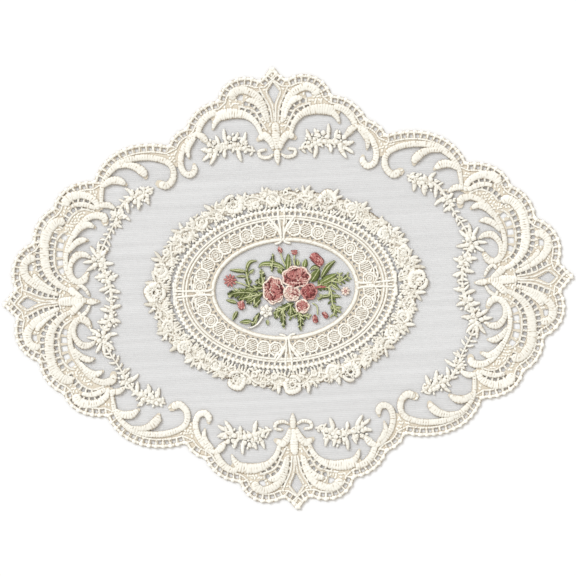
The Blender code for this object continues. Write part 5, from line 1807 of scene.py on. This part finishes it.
@dataclass
class MedallionRing(Part):
    """The oval ring: a rope, pierced rows and a row of rosettes, parted in four."""

    rope: Point = (50.6, 34.6)
    rope_width: float = 2.7
    cords: tuple[Point, ...] = ((69.2, 49.1), (71.4, 50.8))
    cord_width: float = 1.8
    cord_points: int = 160
    cord_edge: float = WEB_TOP + 0.1
    rows: tuple[PiercedRow, ...] = (PiercedRow((53.7, 37.2), 3.5, 1.6, 2, False),
                                    PiercedRow((66.3, 47), 4.1, 2.3, 2.6, True),
                                    PiercedRow((73.8, 52.4), 3.9, 2.4, 2.3, True))
    bar_reach: float = 1.7
    knob_line: Point = (77.1, 55.1)
    knob_pitch: float = 3.1
    knob_size: Span = (3.8, 2.6)
    knob_edge: float = WEB_TOP + 0.2
    rosette_line: Point = (59.8, 42)
    rosette_pitch: float = 8.5
    rosette_radius: float = 4.5
    end_gap: float = 4.5
    side_gap: float = 3.8

    def build(self) -> list[Object]:
        """Sew the ring.

        Returns:
            Its web, its ropes and bars, its rosettes and its knobs.
        """
        bench = self.bench
        holes = [block(spot, row.across, row.along, turn) for row in self.rows
                 for spot, turn in marks_on_oval(row.half, row.pitch)
                 if self._is_clear(spot, 0.6 * self.end_gap, 0.5 * self.side_gap)]
        ropes = [*self._bars(), *self._ropes(), *self._divides()]
        web = FlatCloth("ring_web", "medallion_ring", WEB_LOW, WEB_TOP, bench.web).cut(holes)
        knobs = bench.strewn("ring_knobs", self._knobs())
        return [bench.finish(web, "ecru", "medallion_ring"), bench.sewn("ring_ropes", ropes),
                bench.sewn("ring_rosettes", self._rosettes(), sides=6), knobs]

    @staticmethod
    def _is_clear(spot: Point, end_gap: float, side_gap: float) -> bool:
        """Say whether a place is clear of the divides at the ring's ends and sides."""
        return abs(spot[0]) > end_gap and abs(spot[1] - RING_CENTRE_Y) > side_gap

    def _bars(self) -> Iterator[Stroke]:
        """Sew the bars between the holes.

        Returns:
            The strokes.
        """
        for row in self.rows:
            for spot, turn in marks_on_oval(row.half, row.pitch, MM) if row.barred else ():
                lean = turn - math.pi / 2 + self.chance.uniform(-0.15, 0.15)
                route = straight(spot, lean, self.bar_reach, self.chance.uniform(1.1, 1.9))
                yield sew(route, self.chance.uniform(0.55, 0.9), self.cord_edge, Stitch.CORD, crown=LAYER)

    def _ropes(self) -> Iterator[Stroke]:
        """Sew the rope round the window and the cords outside the rosettes.

        Returns:
            The strokes.
        """
        rope = [(x, y, self.rope_width) for x, y in oval(self.rope, self.cord_points)]
        yield sew(rope, 0.7, WEB_TOP, Stitch.ROPE, True)
        for line in (*self.cords, self.knob_line):
            cord = [(x, y, self.cord_width) for x, y in oval(line, self.cord_points)]
            yield sew(cord, 0.7, self.cord_edge, Stitch.CORD, True)

    @staticmethod
    def _divides() -> Iterator[Stroke]:
        """Sew the leaves and bars that part the ring at its ends and sides.

        Returns:
            The strokes.
        """
        for name, table in DIVIDES.items():
            edge = CLOTH_TOP + 0.6 if name == "hook" else WEB_TOP + LAYER
            for quarter in QUARTERS:
                route = [(quarter.side * x, quarter.end * y + RING_CENTRE_Y, width) for x, y, width in table]
                yield sew(smooth(route, 5), 0.8, edge, Stitch.CORD)

    def _knobs(self) -> list[Bead]:
        """Return the oblong knobs along the ring's outer edge."""
        return [Bead(*spot, self.knob_edge, *self.knob_size, turn + math.pi / 2,
                     self.chance.uniform(0.5, 0.9))
                for spot, turn in marks_on_oval(self.knob_line, self.knob_pitch)]

    def _rosettes(self) -> Iterator[Stroke]:
        """Sew the row of rosettes, clear of the divides.

        Returns:
            The strokes.
        """
        fillings = tuple(Filling)
        for index, (spot, _) in enumerate(marks_on_oval(self.rosette_line, self.rosette_pitch)):
            if self._is_clear(spot, self.end_gap, self.side_gap):
                yield from self._rosette(spot, fillings[index % len(fillings)])

    def _rosette(self, centre: Point, filling: Filling) -> Iterator[Stroke]:
        """Sew one rosette: a knobbed ring that is filled in one of three ways.

        Args:
            centre: Its middle.
            filling: The way that it is filled.

        Returns:
            Its strokes.
        """
        shade = self.chance.uniform(0.55, 0.8)
        patch = round_patch(centre, self.rosette_radius, self.knob_edge)
        yield patch.ring(1.8, shade + 0.2, 7, 0.05)
        yield patch.part(0.9, -LAYER).disc(shade, crown=LAYER)
        if filling is Filling.RINGS:
            for share in (0.66, 0.3):
                yield patch.part(share).ring(1.3, shade)
            return
        for level in (-0.6, -0.3, 0, 0.3, 0.6):
            reach = self.rosette_radius * math.sqrt(1 - level * level) * 0.8
            route = straight(patch.at(filling.value + math.pi / 2, level), filling.value, reach, 1.15)
            yield sew(route, shade, patch.edge, Stitch.PETAL)


@dataclass
class RoseWreath(Part):
    """The wreath of roses, small flowers and leaves round the ring."""

    stations: int = 20
    rose_radius: float = 5.4
    rose_clear: float = 11.5
    rose_edge: float = CLOTH_TOP + 1
    bed_width: float = 9
    bed_edge: float = CLOTH_TOP + 0.2
    stem_width: float = 1.8
    stem_edge: float = CLOTH_TOP + 0.7
    stem_swing: float = 3
    flower_radius: float = 2.7
    flowers: int = 76
    flower_swing: float = 5.2
    leaf_edge: float = CLOTH_TOP + 0.6
    leaf_fan: tuple[tuple[float, float], ...] = ((-0.42, 2.6), (0, 3.3), (0.46, 2.6))  # lean and width
    fingers: tuple[float, ...] = (-0.034, -0.012, 0.012, 0.034)
    finger_width: float = 1.9
    knots: int = 1050
    knot_band: Span = (-7.6, 6)
    knot_size: Span = (3, 1.5)

    def build(self) -> list[Object]:
        """Sew the wreath.

        Returns:
            Its leaves, its flowers and its knots.
        """
        leaves = [*self._bed(), *self._leaves(), *self._fingers()]
        flowers = [*self._roses(), *self._flowers()]
        knots = self.bench.strewn("wreath_knots", list(self._knots()))
        return [self.bench.sewn("wreath_leaves", leaves, "rose_wreath"),
                self.bench.sewn("wreath_flowers", flowers), knots]

    @staticmethod
    def _spot(turn: float, reach: float) -> Point:
        """Return the point at an angle of the wreath, moved out from its line."""
        return on_oval((WREATH_LINE[0] + reach, WREATH_LINE[1] + reach), turn)

    def _near_rose(self, centre: Point, share: float = 1.0) -> bool:
        """Say whether a place is taken by a rose of the chart."""
        return min(math.dist(centre, rose[:2]) for rose in WREATH_ROSES) < self.rose_clear * share

    def _bed(self) -> Iterator[Stroke]:
        """Sew the low bed of thread, in a low shade that is painted shade between the leaves and flowers over
        it, and the two stems that wind along it.

        Returns:
            The strokes.
        """
        bed = [(x, y, self.bed_width) for x, y in oval(WREATH_LINE)]
        # Painted shade: the bed is sewn darker so that the gaps over it look shaded.
        yield sew(bed, 0.35, self.bed_edge, Stitch.SATIN, True, 0.3)
        for phase in (0, math.pi):
            route = [(*self._spot(math.tau * index / OVAL_POINTS,
                                  self.stem_swing * math.sin(index * math.tau / 9 + phase)), self.stem_width)
                     for index in range(OVAL_POINTS)]
            yield sew(route, 0.6, self.stem_edge, Stitch.CORD, True)

    def _leaves(self) -> Iterator[Stroke]:
        """Sew the leaves that point outwards, in fans of three.

        Returns:
            The strokes.
        """
        chance = self.chance
        for index in range(WREATH_LEAVES):
            base, tip = wreath_leaf(index)
            run_x = tip[0] - base[0]
            run_y = tip[1] - base[1]
            for share, width in self.leaf_fan:
                share += chance.uniform(-0.1, 0.1)
                drop = abs(share) * 0.7 + chance.uniform(0.05, 0.3)
                leaf = Leaf(base[0] + run_x * 0.2, base[1] + run_y * 0.2,
                            tip[0] - run_y * share - run_x * drop,
                            tip[1] + run_x * share - run_y * drop, width, 0.5 + share)
                yield leaf_stroke(leaf, chance.uniform(0.1, 0.8), self.leaf_edge + LAYER * chance.random())

    def _fingers(self) -> Iterator[Stroke]:
        """Sew the fingers that point inwards.

        Returns:
            The strokes.
        """
        for index in range(self.stations * 2):
            turn = math.tau * (index + 0.5) / self.stations / 2
            for step in self.fingers:
                near = self._spot(turn + step, -1)
                tip = self._spot(turn + step * 1.5, -8.6 + 1.8 * self.chance.random())
                yield leaf_stroke(Leaf(*near, *tip, self.finger_width, 8 * step),
                                  self.chance.uniform(0.1, 0.7), self.leaf_edge)

    def _roses(self) -> Iterator[Stroke]:
        """Sew the roses of the chart, and the roses between them.

        Returns:
            The strokes.
        """
        chance = self.chance
        for x, y, radius in WREATH_ROSES:
            patch = round_patch((x, y), radius, self.rose_edge)
            yield from patch.comb_rose(chance.uniform(0, math.tau), 0.8)
            for index in range(6):
                spot = patch.at(math.tau * (index + chance.random()) / 6, 0.42)
                yield self._ring_flower(spot, radius * 0.2, LAYER)
        for index in range(self.stations):
            turn = math.tau * (index + 0.2 * math.sin(2.9 * index)) / self.stations
            centre = self._spot(turn, 1.2 * math.sin(2.3 * index))
            if not self._near_rose(centre):
                patch = round_patch(centre, self.rose_radius * chance.uniform(0.85, 1.1), self.rose_edge)
                yield from patch.comb_rose(turn + chance.uniform(1.0, 5.2), chance.uniform(0.6, 0.9))
                yield self._ring_flower(centre, self.rose_radius * 0.24, LAYER)

    def _flowers(self) -> Iterator[Stroke]:
        """Sew the small flowers that swing to and fro along the wreath.

        Returns:
            The strokes.
        """
        for index in range(self.flowers):
            turn = math.tau * (index + 0.5) / self.flowers
            centre = self._spot(turn, self.flower_swing * math.cos(math.pi * (index + 0.3)))
            if not self._near_rose(centre, 0.8):
                yield self._ring_flower(centre, self.flower_radius * self.chance.uniform(0.8, 1.15))

    def _ring_flower(self, centre: Point, radius: float, lift: float = 0.0) -> Stroke:
        """Sew a small flower that is a lobed ring with an open middle.

        Args:
            centre: Its middle.
            radius: Its radius.
            lift: How far it lies above the roses' edges.

        Returns:
            The stroke.
        """
        patch = round_patch(centre, radius * 0.68, self.rose_edge + lift)
        return patch.ring(radius * 0.66, self.chance.uniform(0.3, 0.8), 5, 0.14)

    def _knots(self) -> Iterator[Bead]:
        """Strew small knots between the wreath's leaves and flowers.

        Returns:
            The knots.
        """
        chance = self.chance
        for index in range(self.knots):
            turn = math.tau * (index + chance.random()) / self.knots
            spot = self._spot(turn, chance.uniform(*self.knot_band))
            if not self._near_rose(spot, 0.6):
                yield Bead(*spot, CLOTH_TOP + chance.uniform(0.7, 1.2), *self.knot_size,
                           turn + chance.uniform(-1.2, 1.2), chance.uniform(0.0, 0.8))


def wreath_leaf(index: int) -> tuple[Point, Point]:
    """Place one of the wreath's outer leaves, of an uneven length and lean.

    Args:
        index: Which leaf it is.

    Returns:
        Its base and its tip.
    """
    angle = math.tau * (index + 0.35 * math.sin(2.4 * index)) / WREATH_LEAVES
    reach = WREATH_REACH[0] + WREATH_REACH[1] * abs(math.sin(1.7 * index + 0.6))
    half = (WREATH_LINE[0] + WREATH_END_REACH + reach, WREATH_LINE[1] + reach)
    return on_oval(WREATH_LINE, angle), on_oval(half, angle + 0.05 * math.cos(2.9 * index))


class Daisy(NamedTuple):
    """A round of petals in a bloom: its share of the radius, turn, shade, layer, count and slimness."""

    share: float
    turn: float
    shade: float
    layer: int
    petals: int
    slim: float = 1.0


DAISIES = {
    "bloom_white": (Daisy(1, 0.4, 0.9, 0, 6), Daisy(0.55, 0, 0.7, 2, 5)),
    "star_left": (Daisy(1.15, 0.1, 0.4, 0, 9, 0.48), Daisy(0.6, 0.5, 0.55, 1, 6, 0.6)),
    "bud_cream": (Daisy(1, 0.2, 0.95, 0, 7, 0.8), Daisy(0.5, 0, 0.6, 1, 4)),
}
ROSE_SHADES = {
    "rose_left": RoseShades(7, 0.98, 0.55, 0.4, 0, 0.2, 2.4, (2.6, 0.9, 5, 4)),
    "rose_top": RoseShades(7, 0.94, 0.55, 0.42, 0.02, 0.22, 5.9, (5.6, 4.6, 2.2), 4),
    "rose_right": RoseShades(6, 0.5, 0.3, 0.25, 0, 0.2, 1.6, (0.5, 3.6), 4),
    "rose_small": RoseShades(5, 0.98, 0.75, 0.4, 0.05, 0.16, 4.7, (0.9, 3.9), 2),
    "rose_pale": RoseShades(6, 1, 0.92, 0.8, 0.12, 0.16, 5, (2.2, 5.2, 3.9)),
}
SLOTS = {"bloom_white": "ecru", "star_left": "ecru", "bud_cream": "pale_rose", "rose_pale": "pale_rose"}
BOUQUET_EDGE = CLOTH_TOP + 0.35


@dataclass
class Bouquet(Part):
    """The coloured bouquet in the ring's window."""

    edge: float = BOUQUET_EDGE
    bloom_edge: float = CLOTH_TOP + 0.8
    fullness: float = 1.3
    rose_fullness: float = 1.12
    bud_share: float = 0.92
    rib_width: float = 0.8
    hatch_pitch: float = 1.1
    leaflets: Leaflets = Leaflets(2.5, 1.5, (0.5, 1.1), (0.5, 0.95), (0.2, 1.0), BOUQUET_EDGE)
    stem_width: float = 1.1
    white_stem: tuple[Knot, ...] = ((-16.4, -18.6, 1.5), (-20, -23.2, 1.4), (-24, -25.6, 1.2),
                                    (-27.6, -26, 0.9))
    red_leaf: Leaf = Leaf(20.6, -0.2, 29, -0.2, 2, 0.3)
    sides: int = 8
    hatch_shades: tuple[float, ...] = (0, 0.2, 0.45, 0.7, 1)
    bud_shades: tuple[float, ...] = (0.1, 0.3, 0.5, 0.75)

    def build(self) -> list[Object]:
        """Sew the foliage, then the blooms over it.

        Returns:
            Each bunch of foliage and each bloom.
        """
        bench = self.bench
        pieces = []
        for name, fronds in FRONDS.items():
            strokes = [stroke for frond in fronds for stroke in self._frond(frond)]
            nodes = [node for node in sorted(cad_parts) if node.startswith(name)]
            piece = bench.wrap.wrap(name + "_satin", strokes, bench.leaf, self.sides)
            pieces.append(bench.finish(piece, "leaf", *nodes))
        for bloom in BLOOMS:
            thread = bench.ecru if bloom.name == "bloom_white" else bench.rose
            piece = bench.wrap.wrap(bloom.name + "_satin", self._bloom(bloom), thread, self.sides)
            pieces.append(bench.finish(piece, SLOTS.get(bloom.name, "rose"), bloom.name))
        return pieces

    def _frond(self, frond: Frond) -> Iterator[Stroke]:
        """Sew one frond in its own growth.

        Args:
            frond: The frond.

        Returns:
            The strokes.
        """
        chance = self.chance
        route = [(x, y + RING_CENTRE_Y) for x, y in frond.route]
        width = frond.width * self.fullness
        over = self.edge + 2 * LAYER
        if frond.growth in (SPRIG, STEM):
            yield sew([(*spot, self.stem_width) for spot in smooth(route)], 0.9, over - LAYER, Stitch.CORD)
            if frond.growth is SPRIG:
                yield from self.leaflets.sew(smooth(route), width, chance)
            return
        if frond.growth is BLADE:
            side = width * 0.42 * chance.choice((-1, 1))
            yield blade_stroke(route, width, chance.uniform(0.2, 0.5), self.edge)
            yield blade_stroke(route, self.rib_width, chance.uniform(0.7, 1.0), self.edge + 0.4, side)
        else:
            yield blade_stroke(route, width * 0.6, 0.2, self.edge)
            yield from self._hatches(route, width)
        yield blade_stroke(route, self.rib_width, 1, over)

    def _hatches(self, route: Sequence[Point], width: float) -> Iterator[Stroke]:
        """Sew short stitches that slant out from both sides of a route.

        Args:
            route: The route's points.
            width: The greatest width that they cover.

        Returns:
            The strokes.
        """
        chance = self.chance
        marks = marks_along(smooth(route), self.hatch_pitch, 0.5)
        for index, (spot, turn) in enumerate(marks):
            swell = 0.35 + 0.65 * math.sin(math.pi * (index / max(1, len(marks) - 1)) ** 0.8)
            for side in (1, -1):
                lean = turn + side * chance.uniform(0.5, 1.1)
                reach = width / 2 * swell * chance.uniform(0.85, 1.3)
                path = [(*spot, 0.9), (*ray(lean, reach / 2, spot), 1.15), (*ray(lean, reach, spot), 0.6)]
                yield sew(path, chance.choice(self.hatch_shades),
                          self.edge + LAYER * chance.uniform(0.4, 1.6), Stitch.PETAL)

    def _bloom(self, bloom: Bloom) -> Iterator[Stroke]:
        """Sew one bloom in its own form.

        Args:
            bloom: The bloom.

        Returns:
            The strokes.
        """
        name = bloom.name
        patch = Patch((bloom.x, bloom.y + RING_CENTRE_Y), (bloom.half_x, bloom.half_y), self.bloom_edge)
        if name in DAISIES:
            for daisy in DAISIES[name]:
                petals = round_patch(patch.centre, bloom.radius * daisy.share,
                                     self.bloom_edge + daisy.layer * LAYER)
                yield from petals.daisy(daisy.turn, daisy.shade, daisy.petals, daisy.slim)
        elif name in ROSE_SHADES:
            full = patch.part(self.rose_fullness, -LAYER if name == "rose_pale" else 0)
            yield from full.full_rose(ROSE_SHADES[name], self.chance)
        else:
            yield from self._bud(patch.part(self.bud_share), math.radians(bloom.turn))
        if name == "bloom_white":
            stem = [(x, y + RING_CENTRE_Y, width) for x, y, width in self.white_stem]
            yield sew(smooth(stem), 1, self.bloom_edge, Stitch.CORD)
        if name == "rose_right":
            leaf = self.red_leaf
            raised = leaf._replace(y=leaf.y + RING_CENTRE_Y, tip_y=leaf.tip_y + RING_CENTRE_Y)
            yield leaf_stroke(raised, 0.3, self.edge + LAYER)

    def _bud(self, patch: Patch, turn: float) -> Iterator[Stroke]:
        """Sew a bud of overlapping petals along its length.

        Args:
            patch: The bud's place.
            turn: The direction of its length.

        Returns:
            The strokes.
        """
        chance = self.chance
        long, short = patch.half
        yield patch.disc(0.36, turn)
        for _ in range(round(long * short * 2.6)):
            spot = ray(turn, long * chance.uniform(-0.85, 0.85), patch.centre)
            spot = ray(turn + math.pi / 2, short * chance.uniform(-0.8, 0.8), spot)
            route = straight(spot, turn + chance.uniform(-0.4, 0.4), 1, 0.9)
            yield sew(route, chance.choice(self.bud_shades),
                      patch.edge + LAYER * chance.uniform(1.4, 2.4), Stitch.PETAL)


@dataclass
class Studio:
    """The table, the soft light and the camera straight above."""

    table_reach: float = 3.0
    table_white: tuple[float, float, float, float] = (0.85, 0.85, 0.85, 1.0)
    frame_width: float = 0.4032
    lens: float = 200.0
    sensor: float = 36.0
    turn: float = -2.85  # degrees
    key_strength: float = 2.07
    key_colour: tuple[float, float, float] = (0.88, 0.93, 1.0)
    key_spread: float = 24.0  # degrees
    key_height: float = 42.0  # degrees above the table
    key_side: float = 132.0  # degrees round from the right
    fill: float = 0.83
    fill_colour: tuple[float, float, float, float] = (1.0, 0.976, 0.936, 1.0)

    def build(self) -> None:
        """Set up the table, the lights and the camera."""
        self._table()
        self._lights()
        self._camera()
        bpy.context.scene.view_settings.view_transform = "Standard"

    def _table(self) -> None:
        """Lay the pale table that the doily rests on."""
        mesh = bpy.data.meshes.new("table_top")
        reach = self.table_reach
        mesh.from_pydata([(-reach, -reach, 0), (reach, -reach, 0), (reach, reach, 0), (-reach, reach, 0)], [],
                         [(0, 1, 2, 3)])
        material, wiring, shader = new_finish("table_white")
        wiring.feed(shader, {"Base Color": self.table_white, "Roughness": 0.9})
        mesh.materials.append(material)
        stand("table_top", mesh)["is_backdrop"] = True

    def _lights(self) -> None:
        """Hang a soft key light at the upper left, and fill from all round."""
        light = bpy.data.lights.new("key_light", "SUN")
        light.energy = self.key_strength
        light.color = self.key_colour
        light.angle = math.radians(self.key_spread)
        lean = math.radians(90 - self.key_height)
        stand("key_light", light).rotation_euler = (0.0, lean, math.radians(self.key_side))
        world = bpy.data.worlds.new("soft_room")
        world.use_nodes = True
        room = world.node_tree.nodes["Background"].inputs
        room["Color"].default_value = self.fill_colour
        room["Strength"].default_value = self.fill
        bpy.context.scene.world = world

    def _camera(self) -> None:
        """Look straight down, far off through a long lens."""
        data = bpy.data.cameras.new("camera")
        data.lens = self.lens
        data.sensor_width = self.sensor
        data.clip_end = 20.0
        camera = stand("camera", data)
        camera.location = (0.0, 0.0, self.frame_width * self.lens / self.sensor)
        camera.rotation_euler = (0.0, 0.0, math.radians(self.turn))
        bpy.context.scene.camera = camera


def main() -> None:
    """Sew the doily piece by piece, and set the scene round it."""
    logging.basicConfig(level=logging.INFO, format="%(message)s")
    bench = Bench(ThreadWrap(), BeadSpread(), ECRU.material(), ROSE.material(), LEAF.material(),
                  WEB.material(), ORGANZA.material(), Random(SEED))
    cloth = OrganzaGround(bench).build()
    lace = []
    for part in (LaceBorder, Motifs, MedallionRing, RoseWreath, Bouquet):
        lace += part(bench).build()
    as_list(lace)
    Studio().build()
    boxes = {"cad": CAD_BOX, "visual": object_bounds()}
    {name: [list(low), list(high)] for name, (low, high) in boxes.items()}


if __name__ == "__main__":
    main()
